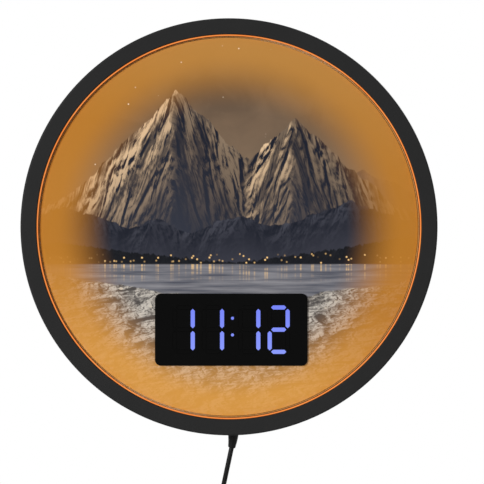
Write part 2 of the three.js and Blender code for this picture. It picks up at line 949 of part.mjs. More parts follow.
boardScrewPlaces.forEach(([x, y], i) => {
  const shape = screw(
    x,
    y,
    boardScrewSeat - boardScrewHeadHeight,
    boardScrewHeadHeight,
    boardScrewHead,
    boardScrewShank,
    boardScrewLength,
    hiddenSides,
  );
  place(`board_screw_${i + 1}`, shape, steel);
});

// Rear cover

const keyholeTop = caseRadius - keyholeInset;
const keyholeUp = keyholeTop - keyholeSlot / 2; // where the shank comes to rest
const keyholeEntry = keyholeUp - keyholeRise;
const pocketWidth = keyholeHead + 2 * pocketWall;
const pocketTop = keyholeUp + keyholeHead / 2;
const pocketBottom = keyholeEntry - keyholeHead / 2;
const jackFace = -(wallInner - jackSetback);
const jackRear = jackFace + jackLength;

function coverBosses() {
  return screwPlaces.map(([x, y]) => disc(headRecess + bossWall, coverSkin / 2, screwBoss, screwSides, x, y));
}

function coverScrewHoles() {
  return screwPlaces.flatMap(([x, y]) => [
    disc(headRecess, -cutReach, screwSeat + seatGap, screwSides, x, y),
    disc(coverScrewShank / 2 + fitGap, 0, screwBoss + cutReach, hiddenSides, x, y),
  ]);
}

// The ring presses the light box against the frame's flange, and leaves a way for the socket
function supportRing() {
  const ring = tubeRing(
    lightBoxRadius - supportRingWidth,
    lightBoxRadius,
    coverSkin / 2,
    trayBack - seatGap,
    boxSides,
  );
  const jackWay = block(
    jackX,
    -lightBoxRadius,
    jackWidth + 2 * fitGap,
    4 * supportRingWidth,
    coverSkin,
    trayBack,
  );
  return cut(ring, jackWay, ...columnWays);
}

function stiffeners() {
  const hub = tubeRing(hubRadius - ribThickness, hubRadius, coverSkin / 2, coverSkin + ribHeight, hatchSides);
  const ribs = ribAngles.map((angle) =>
    radialBar(
      angle,
      hubRadius - ribThickness / 2,
      lightBoxRadius - supportRingWidth / 2,
      ribThickness,
      coverSkin / 2,
      coverSkin + ribHeight,
    ),
  );
  return [hub, ...ribs];
}

function keyholeBox() {
  const height = pocketTop - pocketBottom;
  const middle = (pocketTop + pocketBottom) / 2;
  const walls = block(
    0,
    middle,
    pocketWidth,
    height + 2 * pocketWall,
    coverSkin / 2,
    coverSkin + keyholePocket + pocketWall,
  );
  const room = block(0, middle, keyholeHead, height, coverSkin, coverSkin + keyholePocket);
  return cut(walls, room);
}

function keyholeCut() {
  const entry = disc(keyholeHead / 2, -cutReach, coverSkin + keyholePocket / 2, roundSides, 0, keyholeEntry);
  const slotEnd = disc(keyholeSlot / 2, -cutReach, coverSkin + keyholePocket / 2, roundSides, 0, keyholeUp);
  const slot = block(
    0,
    (keyholeEntry + keyholeUp) / 2,
    keyholeSlot,
    keyholeRise,
    -cutReach,
    coverSkin + keyholePocket / 2,
  );
  return [entry, slotEnd, slot];
}

function hatchOpening() {
  const seat = disc(hatchRadius + fitGap, -cutReach, hatchSeat, hatchSides, hatchX, hatchY);
  const neck = disc(hatchNeck + fitGap, 0, coverSkin + cutReach, hatchSides, hatchX, hatchY);
  const notchSpan = lugSpan + 2 * notchClear;
  const notches = [-hatchTurn, 180 - hatchTurn].map((angle) =>
    slab(
      sectorOutline(hatchNeck - lugReach, lugOuter + fitGap, angle, notchSpan, hatchX, hatchY),
      hatchSeat - cutReach / 2,
      coverSkin + cutReach,
    ),
  );
  return [seat, neck, ...notches];
}

// Posts inside the cover that stop the first lug where it is locked and where it is free
function hatchStops() {
  const locked = lugSpan / 2 + stopClear + stopSpan / 2;
  const free = -hatchTurn - lugSpan / 2 - stopClear - stopSpan / 2;
  return [locked, free].map((angle) =>
    slab(
      sectorOutline(hatchNeck + 2 * fitGap, lugOuter + stopReach, angle, stopSpan, hatchX, hatchY),
      coverSkin - hatchLip / 2,
      lugBack + lugThickness,
    ),
  );
}

function rearCover() {
  const skin = turned(
    [
      [0, 0],
      [coverRadius - coverEdge, 0],
      [coverRadius, coverEdge],
      [coverRadius, coverSkin],
      [0, coverSkin],
    ],
    caseSides,
  );
  const cradle = block(
    jackX,
    (jackFace + jackRear) / 2,
    jackWidth,
    cradleLength,
    coverSkin / 2,
    coverSkin + jackCradle,
  );
  const buttonHoles = buttonPlaces.map(([x, y]) =>
    disc(buttonRadius + fitGap, -cutReach, coverSkin + cutReach, roundSides, x, y),
  );
  const opened = cut(
    join(skin, ...coverBosses(), supportRing(), ...stiffeners(), cradle),
    ...coverScrewHoles(),
    ...buttonHoles,
    ...hatchOpening(),
  );
  return cut(join(opened, keyholeBox(), ...hatchStops()), ...keyholeCut());
}

place("rear_cover", rearCover(), rearPlastic);

// Socket, plug and boot

function dcJack() {
  const body = block(
    jackX,
    (jackFace + jackRear) / 2,
    jackWidth,
    jackLength,
    plugLevel - jackHeight / 2,
    plugLevel + jackHeight / 2,
  );
  const boreRadius = barrelDiameter / 2 + fitGap;
  const boreEnd = jackFace + barrelLength + seatGap;
  const bore = uprightBar(boreRadius, jackFace - cutReach, boreEnd, jackX, plugLevel, hiddenSides);
  const pin = uprightBar(jackPin / 2, jackFace + seatGap, jackRear - seatGap, jackX, plugLevel, hiddenSides);
  return join(cut(body, bore), pin);
}

function plugBarrel() {
  const end = jackFace + barrelLength;
  const skin = uprightBar(barrelDiameter / 2, jackFace, end, jackX, plugLevel, hiddenSides);
  const bore = uprightBar(
    barrelBore / 2,
    jackFace - cutReach,
    end + cutReach,
    jackX,
    plugLevel,
    hiddenSides,
  );
  return cut(skin, bore);
}

// The boot starts at the socket's face and bends to the left along an arc
const bootTop = jackFace - seatGap;
const bendAngle = radians(bootBend);
const bendRadius = bootLength / bendAngle;

function bootPoint(share) {
  const lean = bendAngle * share;
  return {
    x: jackX - bendRadius * (1 - Math.cos(lean)),
    y: bootTop - bendRadius * Math.sin(lean),
    level: plugLevel,
    lean,
  };
}

function plugBoot() {
  const stations = Array.from({ length: bootSteps + 1 }, (_, i) => {
    const share = i / bootSteps;
    const diameter = bootDiameter + (bootTipDiameter - bootDiameter) * share;
    return { ...bootPoint(share), outline: circleOutline(diameter / 2, roundSides) };
  });
  return loft(stations);
}

place("dc_jack", dcJack(), blackPlastic);
place("dc_plug_barrel", plugBarrel(), steel);
place("dc_plug_boot", plugBoot(), blackRubber);

// Wires inside the case

const boardBottom = displayY - boardHeight / 2;

function supplyWire(side) {
  const fromX = jackX + (side * wireSpread) / 2;
  const toX = displayX + side * wireSpread;
  const fromY = jackRear + seatGap;
  const padY = boardBottom + wirePadRise;
  const middle = (fromY + padY) / 2;
  const low = plugLevel - wireDiameter;
  const curve = new THREE.CatmullRomCurve3([
    new THREE.Vector3(fromX, fromY, plugLevel),
    new THREE.Vector3(fromX, fromY + 2 * wireDiameter, plugLevel),
    new THREE.Vector3((fromX + toX) / 2, middle, low),
    new THREE.Vector3(toX, padY - 2 * wireRest, low),
    new THREE.Vector3(toX, padY - wireDiameter / 2, partBack - wireRest),
    new THREE.Vector3(toX, padY, partBack),
  ]);
  return tubeAlong(curve, wireDiameter, coilSides, supplyWireSteps);
}

function stripLead() {
  const fromX = displayX + boardWidth / 2 - boardOverhang;
  const [holeX, holeY] = wireHolePlace;
  const [endX, endY] = onCircle(stripFlat - seatGap, stripWireAngle);
  const low = partBack - wireRest;
  const middle = (trayBack + trayFloor + trayFront) / 2;
  const curve = new THREE.CatmullRomCurve3([
    new THREE.Vector3(fromX, displayY, partBack),
    new THREE.Vector3(fromX + wireDiameter / 4, displayY, partBack - wireRest / 2),
    new THREE.Vector3(fromX + 2 * wireDiameter, displayY, low),
    new THREE.Vector3((fromX + holeX) / 2, (displayY + holeY) / 2, low),
    new THREE.Vector3(holeX - 2 * wireDiameter, holeY, low),
    new THREE.Vector3(holeX - wireDiameter / 4, holeY, trayBack - wireDiameter),
    new THREE.Vector3(holeX, holeY, trayBack + trayFloor),
    new THREE.Vector3(holeX + wireDiameter / 4, holeY, middle - wireDiameter),
    new THREE.Vector3((holeX + endX) / 2, (holeY + endY) / 2, middle),
    new THREE.Vector3(endX, endY, middle),
  ]);
  return tubeAlong(curve, wireDiameter, coilSides, stripLeadSteps);
}

place("supply_wire_red", supplyWire(1), redWire);
place("supply_wire_black", supplyWire(-1), blackWire);
place("strip_lead", stripLead(), blackWire);

// Power lead: a free stretch, a tied coil and a short tail with the plug

// The coil spirals in and out again, layer upon layer, and climbs to the next layer in the half turn
// where it reverses. Its ends run straight for one diameter of the cord.
class WoundCoil extends THREE.Curve {
  arcLengthDivisions = coilStepsPerTurn * coilTurns * 8;

  turnPoint(turns) {
    const layer = Math.min(Math.floor(turns / layerTurns), coilLayers - 1);
    const along = turns - layer * layerTurns;
    const drawn = turnPitch * Math.min(along, layerSpiral);
    const radius = layer % 2 ? coilInnerRadius + drawn : coilOuterRadius - drawn;
    const climb = THREE.MathUtils.smoothstep(along, layerSpiral, layerTurns);
    const angle = radians(coilStartAngle + 360 * turns);
    const level = (layer + climb) * turnPitch;
    return new THREE.Vector3(radius * Math.cos(angle), radius * Math.sin(angle), level);
  }

  heading(turns) {
    const step = 1e-3;
    return this.turnPoint(turns + step).sub(this.turnPoint(turns - step)).setZ(0).normalize();
  }

  getPoint(t) {
    const straight = cordDiameter / (2 * Math.PI * coilOuterRadius);
    const turns = t * (coilTotalTurns + 2 * straight) - straight;
    const within = THREE.MathUtils.clamp(turns, 0, coilTotalTurns);
    const past = ((turns - within) / straight) * cordDiameter;
    const end = turns < within ? this.startHeading() : this.endHeading();
    return this.turnPoint(within).addScaledVector(end, past);
  }

  startHeading() {
    return this.heading(1e-3);
  }

  endHeading() {
    return this.heading(coilTotalTurns - 1e-3);
  }
}

// The least gap between turns, from points of the centre line that lie at least half a turn apart
function leastGap(curve, steps) {
  const points = curve.getSpacedPoints(steps);
  const apart = Math.round(steps / coilTotalTurns / 2);
  let least = Infinity;
  points.forEach((point, i) => {
    for (let j = i + apart; j < points.length; j++) least = Math.min(least, point.distanceTo(points[j]));
  });
  return least - cordDiameter;
}

const tip = bootPoint(1);
const lead = new THREE.Group();
lead.position.set(tip.x, tip.y, tip.level);
clock.add(lead);

const leadCurve = new THREE.CatmullRomCurve3(leadRoute.map(([x, y, z]) => new THREE.Vector3(x, y, z)));
place("power_lead", tubeAlong(leadCurve, cordDiameter, cordSides, leadSteps), blackRubber, lead);

const coil = new WoundCoil();
const coilGroup = new THREE.Group();
coilGroup.position
  .copy(leadCurve.getPoint(1))
  .addScaledVector(coil.startHeading(), seatGap)
  .sub(coil.getPoint(0));
lead.add(coilGroup);
const coilSteps = Math.round(coilTotalTurns * coilStepsPerTurn);
place("lead_coil", tubeAlong(coil, cordDiameter, coilSides, coilSteps), blackRubber, coilGroup);

// A band round all the turns near the top of the coil
function coilTie() {
  const inner = coilInnerRadius - cordRadius;
  const low = Math.sqrt(inner ** 2 - (tieWidth / 2) ** 2) - tieGap;
  const high = coilOuterRadius + cordRadius + tieGap;
  const deep = (coilLayers - 1) * turnPitch + cordDiameter + 2 * tieGap;
  const middle = (low + high) / 2;
  const height = high - low;
  const band = slab(
    roundedOutline(deep + 2 * tieThickness, height + 2 * tieThickness, 3 * tieThickness, 0, middle),
    -tieWidth / 2,
    tieWidth / 2,
    [roundedOutline(deep, height, 2 * tieThickness, 0, middle)],
  );
  const geometry = geometryOf(band).rotateY(Math.PI / 2);
  return geometry.translate(0, 0, ((coilLayers - 1) * turnPitch) / 2);
}

place("coil_tie", coilTie(), tieFabric, coilGroup).rotation.z = radians(tieAngle);

const tailStart = coil.getPoint(1).addScaledVector(coil.endHeading(), seatGap);
const tail = new THREE.Group();
tail.position.copy(tailStart);
coilGroup.add(tail);
const tailCurve = new THREE.LineCurve3(new THREE.Vector3(), coil.endHeading().multiplyScalar(tailLength));
place("lead_tail", tubeAlong(tailCurve, cordDiameter, cordSides, tailSteps), blackRubber, tail);

const plug = new THREE.Group();
plug.position.copy(coil.endHeading().multiplyScalar(tailLength + seatGap));
plug.rotation.z = Math.atan2(coil.endHeading().x, -coil.endHeading().y);
tail.add(plug);

function usbGrip() {
  const { width, depth, corner, boot, shoulder, length, round } = plugGrip;
  const end = boot + shoulder + length;
  const station = (down, outline) => ({ x: 0, y: -down, level: 0, lean: 0, outline });
  const ring = (diameter) => roundedOutline(diameter, diameter, diameter / 2);
  return loft([
    station(0, ring(plugBootTop)),
    station(boot, ring(plugBootEnd)),
    station(boot + shoulder, roundedOutline(width, depth, corner)),
    station(end - round, roundedOutline(width, depth, corner)),
    station(end, roundedOutline(width - 2 * round, depth - 2 * round, corner - round / 2)),
  ]);
}

const gripEnd = plugGrip.boot + plugGrip.shoulder + plugGrip.length;

function usbShell() {
  const { width, depth, wall, length } = plugShell;
  const bore = roundedOutline(width - 2 * wall, depth - 2 * wall, wall);
  const from = gripEnd + seatGap;
  const tube = slab(roundedOutline(width, depth, 2 * wall), from, from + length, [bore]);
  return geometryOf(tube).rotateX(Math.PI / 2);
}

function usbTongue() {
  const { width, depth, length, gap } = plugTongue;
  const side = plugShell.depth / 2 - plugShell.wall - gap - depth / 2;
  const from = gripEnd + seatGap;
  return geometryOf(block(0, -side, width, depth, from, from + length)).rotateX(Math.PI / 2);
}

place("usb_plug_grip", usbGrip(), blackRubber, plug);
place("usb_plug_shell", usbShell(), steel, plug);
place("usb_plug_tongue", usbTongue(), ivoryPlastic, plug);

const leadLength = leadCurve.getLength() + coil.getLength() + tailLength + 2 * seatGap;
console.log(`lead from boot to plug ${leadLength.toFixed(0)} mm`);
console.log(`least gap in the coil ${leastGap(coil, coilSteps * 4).toFixed(2)} mm`);

export default wallClock;
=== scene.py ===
# Looks of a round digital wall clock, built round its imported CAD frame.
# The face lies in the XZ plane and looks along -Y. The helpers take millimetres as they are read off the
# clock: across, up the face, and level, which runs forward from the wall.

import math
from collections import namedtuple

import bmesh
import bpy
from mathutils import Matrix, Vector


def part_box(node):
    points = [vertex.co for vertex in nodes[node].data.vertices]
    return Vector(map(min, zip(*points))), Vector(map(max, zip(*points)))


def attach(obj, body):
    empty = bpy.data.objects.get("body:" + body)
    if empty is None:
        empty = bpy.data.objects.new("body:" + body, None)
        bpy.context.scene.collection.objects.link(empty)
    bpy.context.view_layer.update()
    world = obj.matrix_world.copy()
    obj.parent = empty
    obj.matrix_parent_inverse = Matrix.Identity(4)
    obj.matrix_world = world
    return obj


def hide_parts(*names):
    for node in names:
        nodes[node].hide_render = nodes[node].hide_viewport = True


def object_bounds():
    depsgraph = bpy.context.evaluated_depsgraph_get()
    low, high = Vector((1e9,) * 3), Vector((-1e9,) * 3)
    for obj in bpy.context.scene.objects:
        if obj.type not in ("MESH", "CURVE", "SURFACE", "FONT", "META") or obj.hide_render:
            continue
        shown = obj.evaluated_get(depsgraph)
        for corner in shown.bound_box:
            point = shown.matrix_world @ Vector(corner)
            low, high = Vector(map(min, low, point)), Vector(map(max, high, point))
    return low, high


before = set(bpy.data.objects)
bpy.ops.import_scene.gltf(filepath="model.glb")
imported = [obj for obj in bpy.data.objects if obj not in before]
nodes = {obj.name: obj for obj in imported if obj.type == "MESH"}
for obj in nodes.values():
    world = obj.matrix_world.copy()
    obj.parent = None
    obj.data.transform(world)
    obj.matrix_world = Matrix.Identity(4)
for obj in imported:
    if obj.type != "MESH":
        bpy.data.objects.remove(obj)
cad_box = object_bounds()
scene = bpy.context.scene
scene.view_settings.view_transform = "Standard"

MM = 0.001

# What the frame measures, in millimetres

Extent = namedtuple("Extent", "left right bottom top back front")


def extent(node):
    """How far a CAD node reaches each way on the face, and back and front from the wall."""
    low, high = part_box(node)
    return Extent(low.x / MM, high.x / MM, low.z / MM, high.z / MM, -high.y / MM, -low.y / MM)


def middle(reach):
    """The middle of a node as seen on the face."""
    return (reach.left + reach.right) / 2, (reach.bottom + reach.top) / 2


def size_of(reach):
    """The width and height of a node as seen on the face."""
    return reach.right - reach.left, reach.top - reach.bottom


case = extent("front_frame")
cover = extent("rear_cover")
panel = extent("picture_panel")
light = extent("light_ring")
gasket = extent("panel_gasket")
block = extent("display_block")
colon = extent("colon_dots")
digit_box = extent("minute_units_segments")
hatch = extent("battery_hatch")
jack = extent("dc_jack")
boot = extent("dc_plug_boot")
screw = extent("cover_screw_1")

CASE_RADIUS = case.top
COVER_RADIUS = cover.top

# Frame
FACE_WIDTH = 11.4
FRAME_WALL = 2.4
FLANGE = 2.8
EDGE_ROUND = 1.4
LIP_ROUND = 0.5
REAR_ROUND = 0.4
COLUMN_RADIUS = 3.2
COLUMN_WEB = 2.0
PILOT_RADIUS = 1.6
PILOT_END = 15.3
SCREW_COUNT = 6
SCREW_CIRCLE = screw.left + (screw.right - screw.left) / 2

# Light box
LINE_OUTER = 138.3
LINE_INNER = 137.4
LINE_ROUND = 0.35
RING_FOOT = 2.6
RING_INSET = 0.6
RING_ROUND = 0.2
GASKET_INNER = 136.4
GASKET_ROUND = 0.3
PANEL_ROUND = 0.25
FIT_GAP = 0.3

# Rear cover
COVER_SKIN = 2.4
COVER_BEVEL = 1.0
BEVEL_ROUND = 0.3
COLUMN_GAP = 0.5
JACK_WAY = 8.0
SUPPORT_RING = (138.9, 140.5)
SUPPORT_FRONT = 10.2
BOSS_RADIUS = 3.8
BOSS_FRONT = 5.0
HEAD_RECESS = 2.9
HEAD_SEAT = 2.25
HOLE_CHAMFER = 0.35
HUB_RADIUS = 18.0
RIB_WIDTH = 1.2
RIB_HEIGHT = 3.0
RIB_SINK = 0.8
RIB_ANGLES = (0, 30, 60, 120, 150, 180)
KEYHOLE_HEAD = 4.5
KEYHOLE_SLOT = 2.5
KEYHOLE_ENTRY = 99.5
KEYHOLE_REST = 109.5
KEYHOLE_ROOM = 4.8
POCKET_WALL = 1.4

# Display
LIP_BACK = 22.6
LIP_OVERLAP = 1.6
DISPLAY_CORNER = 4.2
DISPLAY_EDGE = 0.5
DIGIT_BAR = 2.9
TIP_GAP = 1.0
WELL_GAP = 0.06  # closer than in the solids, so that the dark bars melt into the face
WEB_BACK = 11.5
WEB_FRONT = 12.3
BAR_FOOT = 11.8  # inside the web
WEB_MARGIN = 0.2
WEB_CORNER = 0.4
BAR_TIP = 0.25
BAR_CORNER = 0.3
BAR_EDGE = 0.12
LIT_FROM = 0.1  # over the web
LIT_MARGIN = 0.05
BODY_SETBACK = 0.6
DOT_RADIUS = 1.05
DOT_RISES = (8.2, -3.8)
DOT_SHIFT = 0.9

# Buttons and hatch
BUTTON_RADIUS = 3.6
BUTTON_ROUND = 0.6
BUTTON_FLANGE = 5.0
BUTTON_SEAT = 2.7
FLANGE_ROUND = 0.1
MARK_HEIGHT = 0.25
MARK_SEAT = 0.4
MARK_RING = (1.0, 1.5)
MARK_DOT = 0.8
MARK_LENGTH = 3.2
MARK_BAR = 0.7
MARK_CORNER = 0.2
MARK_CREASE = 0.1
HATCH_NECK = 12.4
HATCH_FLANGE = 0.9
HATCH_SEAT = 1.6
LUG_REACH = 1.3
LUG_THICKNESS = 0.8
LUG_SPAN = 36
NOTCH_SPARE = 8
NOTCH_SINK = 0.5
HATCH_ROUND = 0.35
NECK_ROUND = 0.3
COIN_SLOT = (1.8, 16.0, 0.8)
COIN_DEPTH = 1.0
COIN_EDGE = 0.2
ARROW = ((-1.3, 10.4), (1.3, 10.4), (0, 12.6))
ARROW_DEPTH = 0.5
HATCH_TURN = 60

# Plug, lead and coil
PLUG_LEVEL = 6.4
PLUG_X = 3.2
PLUG_HOLE = 4.0
BOOT_TOP = boot.top
BOOT_LENGTH = 12.9
BOOT_RADIUS = 3.7
BOOT_TIP_RADIUS = 2.6
BOOT_BEND = math.radians(12)
BOOT_SHOULDER = 0.32  # share of its length before the taper
BOOT_TIP_ROUND = 0.5
CORD_RADIUS = 1.75
COIL_INNER = 15.2
TURN_PITCH = 4.6
LAYER_SPIRAL = 2.5
LAYER_TURNS = 3.0
COIL_START = math.radians(126.6)
COIL_TURNS = 11 + (180 - 126.6) / 360
TAIL_LENGTH = 10.0
SEAT_GAP = 0.3

# The lead's route from the tip of the boot to its coil, as in the CAD: across, up and level
LEAD_ROUTE = [
    (-0.06, -0.29, 0),
    (-0.42, -1.96, 0),
    (-0.83, -3.91, 0),
    (-1.25, -5.87, 0),
    (-1.66, -7.83, -0.03),
    (-2.49, -11.74, -0.23),
    (-3.33, -15.65, -0.58),
    (-4.16, -19.56, -1.02),
    (-4.99, -23.48, -1.48),
    (-5.72, -26.9, -1.87),
    (-6.41, -29.31, -2.11),
    (-7.43, -31.61, -2.31),
    (-8.76, -33.74, -2.44),
    (-10.38, -35.66, -2.5),
    (-11.76, -36.95, -2.5),
    (-13.0, -37.9, -2.5),
]

# Fineness of the round shapes
CASE_SIDES = 288
SMALL_SIDES = 64
PEG_SIDES = 32
SCREW_SIDES = 40
MARK_SIDES = 48
FLOOR_SIDES = 96
BOOT_STEPS = 24
ROUND_STEPS = 6
TIP_STEPS = 8
COIL_STEPS = 64

CUT_PAST = 1.0  # how far a cutter runs past the face that it opens

# Mesh helpers


def at(x, up, level):
    """A point in metres from millimetres across, up the face and forward from the wall."""
    return Vector((x * MM, -level * MM, up * MM))


def link(name, bm):
    """A mesh object from a bmesh, with doubles merged and the faces pointing outwards."""
    bmesh.ops.remove_doubles(bm, verts=bm.verts, dist=1e-7)
    bmesh.ops.recalc_face_normals(bm, faces=bm.faces)
    mesh = bpy.data.meshes.new(name)
    bm.to_mesh(mesh)
    bm.free()
    made = bpy.data.objects.new(name, mesh)
    scene.collection.objects.link(made)
    return made


def loft(name, rings, closed=False):
    """Skins a row of rings of points. The row closes on itself, or ends in flat caps."""
    bm = bmesh.new()
    rows = [[bm.verts.new(point) for point in ring] for ring in rings]
    pairs = list(zip(rows, rows[1:]))
    if closed:
        pairs.append((rows[-1], rows[0]))
    else:
        bm.faces.new(rows[0])
        bm.faces.new(rows[-1])
    for first, second in pairs:
        for i in range(len(first)):
            bm.faces.new((first[i - 1], first[i], second[i], second[i - 1]))
    return link(name, bm)


def turns_of(count):
    """Angles that share a full turn evenly."""
    return [2 * math.pi * i / count for i in range(count)]


def circle(x, up, radius, sides):
    return [(x + radius * math.cos(t), up + radius * math.sin(t)) for t in turns_of(sides)]


def lathe(name, profile, sides, x=0.0, up=0.0, closed=False):
    """Turns a profile of (radius, level) about the clock's axis, or one beside it."""
    rings = [[at(*spot, level) for spot in circle(x, up, radius, sides)] for radius, level in profile]
    return loft(name, rings, closed)


def turned(corners):
    """A profile from the axis and back to it, without its ends, so that its flat ends are single faces."""
    return filleted([(0.0, corners[0][1], 0.0), *corners, (0.0, corners[-1][1], 0.0)], closed=False)[1:-1]


def hoop(name, inner, outer, back, front, sides, x=0.0, up=0.0):
    """A ring with a square section."""
    section = [(inner, back), (outer, back), (outer, front), (inner, front)]
    return lathe(name, section, sides, x, up, closed=True)


def prism(name, outline, back, front):
    """An outline of (x, up) points, from one level to another."""
    return loft(name, [[at(*spot, level) for spot in outline] for level in (back, front)])


def rod(name, start, end, radius, sides):
    """A round bar between two points that are given in metres."""
    along = (end - start).normalized()
    side = along.orthogonal().normalized() * radius * MM
    other = along.cross(side)
    around = [side * math.cos(t) + other * math.sin(t) for t in turns_of(sides)]
    return loft(name, [[spot + offset for offset in around] for spot in (start, end)])


def filleted(corners, closed=True):
    """The outline through corners of (u, v, radius), each rounded by its own radius."""
    points = []
    for i, (u, v, radius) in enumerate(corners):
        here = Vector((u, v))
        if radius == 0 or not (closed or 0 < i < len(corners) - 1):
            points.append((u, v))
            continue
        before = (Vector(corners[i - 1][:2]) - here).normalized()
        after = (Vector(corners[(i + 1) % len(corners)][:2]) - here).normalized()
        half = before.angle(after) / 2
        centre = here + (before + after).normalized() * radius / math.sin(half)
        first = here + before * radius / math.tan(half) - centre
        last = here + after * radius / math.tan(half) - centre
        turn = math.remainder(math.atan2(last.y, last.x) - math.atan2(first.y, first.x), 2 * math.pi)
        for step in range(ROUND_STEPS + 1):
            angle = math.atan2(first.y, first.x) + turn * step / ROUND_STEPS
            points.append((centre.x + radius * math.cos(angle), centre.y + radius * math.sin(angle)))
    return points


def rectangle(x, up, width, height, corner=0.0):
    across = width / 2
    rise = height / 2
    return filleted(
        [
            (x + across, up + rise, corner),
            (x - across, up + rise, corner),
            (x - across, up - rise, corner),
            (x + across, up - rise, corner),
        ]
    )


def spoke(angle, inner, outer, width):
    """The outline of a bar along a radius of the clock."""
    along = Vector((math.cos(angle), math.sin(angle)))
    side = Vector((-along.y, along.x)) * width / 2
    corners = (along * inner - side, along * outer - side, along * outer + side, along * inner + side)
    return [tuple(corner) for corner in corners]


def sector(x, up, inner, outer, centre, span):
    """The outline of a piece of a ring, between two angles in degrees."""
    turns = [math.radians(centre + span * (i / SMALL_SIDES - 0.5)) for i in range(SMALL_SIDES + 1)]
    out = [(x + outer * math.cos(t), up + outer * math.sin(t)) for t in turns]
    back = [(x + inner * math.cos(t), up + inner * math.sin(t)) for t in reversed(turns)]
    return out + back


def settle(piece):
    """Turns a piece's modifiers into its plain mesh."""
    graph = bpy.context.evaluated_depsgraph_get()
    mesh = bpy.data.meshes.new_from_object(piece.evaluated_get(graph))
    piece.modifiers.clear()
    piece.data = mesh
    return piece


def carve(piece, operation, *others):
    """Joins the other pieces to this one, or cuts them out of it, and removes them."""
    for other in others:
        modifier = piece.modifiers.new(operation, "BOOLEAN")
        modifier.operation = operation
        modifier.solver = "MANIFOLD"
        modifier.object = other
    settle(piece)
    piece.data.materials.clear()
    for other in others:
        bpy.data.objects.remove(other)
    return piece


def soften(piece, width, steps=3, angle=40):
    """Rounds the sharp edges of a piece."""
    modifier = piece.modifiers.new("edges", "BEVEL")
    modifier.width = width * MM
    modifier.segments = steps
    modifier.limit_method = "ANGLE"
    modifier.angle_limit = math.radians(angle)
    return settle(piece)


def dress(piece, finish, stands_for, body="clock", crease=35):
    """Shades a piece, gives it its finish, sets what it rides on, and hides the CAD parts that it stands
    for.
    """
    piece.data.shade_smooth()
    piece.data.set_sharp_from_angle(angle=math.radians(crease))
    piece.modifiers.new("normals", "WEIGHTED_NORMAL").keep_sharp = True
    settle(piece)
    if not piece.data.materials:
        piece.data.materials.append(finish)
    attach(piece, body)
    if stands_for:
        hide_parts(*stands_for)
    return piece


# Material helpers

# Kinds of node. One with a setting is named for what it does with its inputs, in their order.
MATH = "ShaderNodeMath"
PLUS = (MATH, {"operation": "ADD"})
MINUS = (MATH, {"operation": "SUBTRACT"})
TIMES = (MATH, {"operation": "MULTIPLY"})
TIMES_PLUS = (MATH, {"operation": "MULTIPLY_ADD"})
LARGER = (MATH, {"operation": "MAXIMUM"})
MIX = "ShaderNodeMix"
BLEND = (MIX, {"data_type": "RGBA"})
NOISE = "ShaderNodeTexNoise"
RANGE = "ShaderNodeMapRange"
VECTOR = "ShaderNodeVectorMath"
AXES = "ShaderNodeSeparateXYZ"
SPOT = "ShaderNodeCombineXYZ"
CELLS = "ShaderNodeTexVoronoi"
CHANCES = "ShaderNodeSeparateColor"
BUMP = "ShaderNodeBump"

# Moulded plastic: where its noise turns from pit to land, the size of its clouds, how far they darken and
# lighten it at random, and how much painted shade its pits and painted light its lands get
PIT_FLOOR = 0.35
PIT_RIM = 0.65
CLOUD_SIZE = 30.0
CLOUD_DARK = 0.88
CLOUD_PALE = 1.14
PIT_SHADE = 0.14
LAND_LIGHT = 0.18
GLOSS_SPREAD = 0.07
GRAIN_DEPTH = 0.12  # share of a grain's width, deeper than a real mould's so that it shows


def tone(code):
    """A linear colour from an sRGB hex code."""
    shares = [int(code[i : i + 2], 16) / 255 for i in (1, 3, 5)]
    return (*[s / 12.92 if s <= 0.04045 else ((s + 0.055) / 1.055) ** 2.4 for s in shares], 1.0)


def shaded(code, share):
    """A hex code's colour made lighter or darker."""
    return (*[min(1.0, s * share) for s in tone(code)[:3]], 1.0)


def add(tree, kind, inputs=(), **settings):
    """Adds a node. Its inputs come in order or by name: values, hex colours, or what other nodes give."""
    title, presets = (kind, {}) if isinstance(kind, str) else kind
    node = tree.nodes.new(title)
    for name, value in {**presets, **settings}.items():
        setattr(node, name, value)
    sockets = [socket for socket in node.inputs if socket.enabled]
    for key, value in inputs.items() if isinstance(inputs, dict) else enumerate(inputs):
        fitting = [socket for i, socket in enumerate(sockets) if key in (i, socket.name)]
        socket = fitting[0] if fitting else node.inputs[key]
        if isinstance(value, str):
            value = tone(value)
        if isinstance(value, bpy.types.Node):
            value = next(output for output in value.outputs if output.enabled)
        if isinstance(value, bpy.types.NodeSocket):
            tree.links.new(value, socket)
        else:
            socket.default_value = value
    return node


def begin(name):
    """A new material, its tree, and the place on the object that its patterns follow."""
    made = bpy.data.materials.new(name)
    made.use_nodes = True
    made.node_tree.nodes.clear()
    where = add(made.node_tree, "ShaderNodeTexCoord")
    return made, made.node_tree, where.outputs["Object"]


def surface(made, inputs):
    """Ends a material in a shader with these inputs."""
    shader = add(made.node_tree, "ShaderNodeBsdfPrincipled", inputs)
    add(made.node_tree, "ShaderNodeOutputMaterial", {"Surface": shader})
    return made


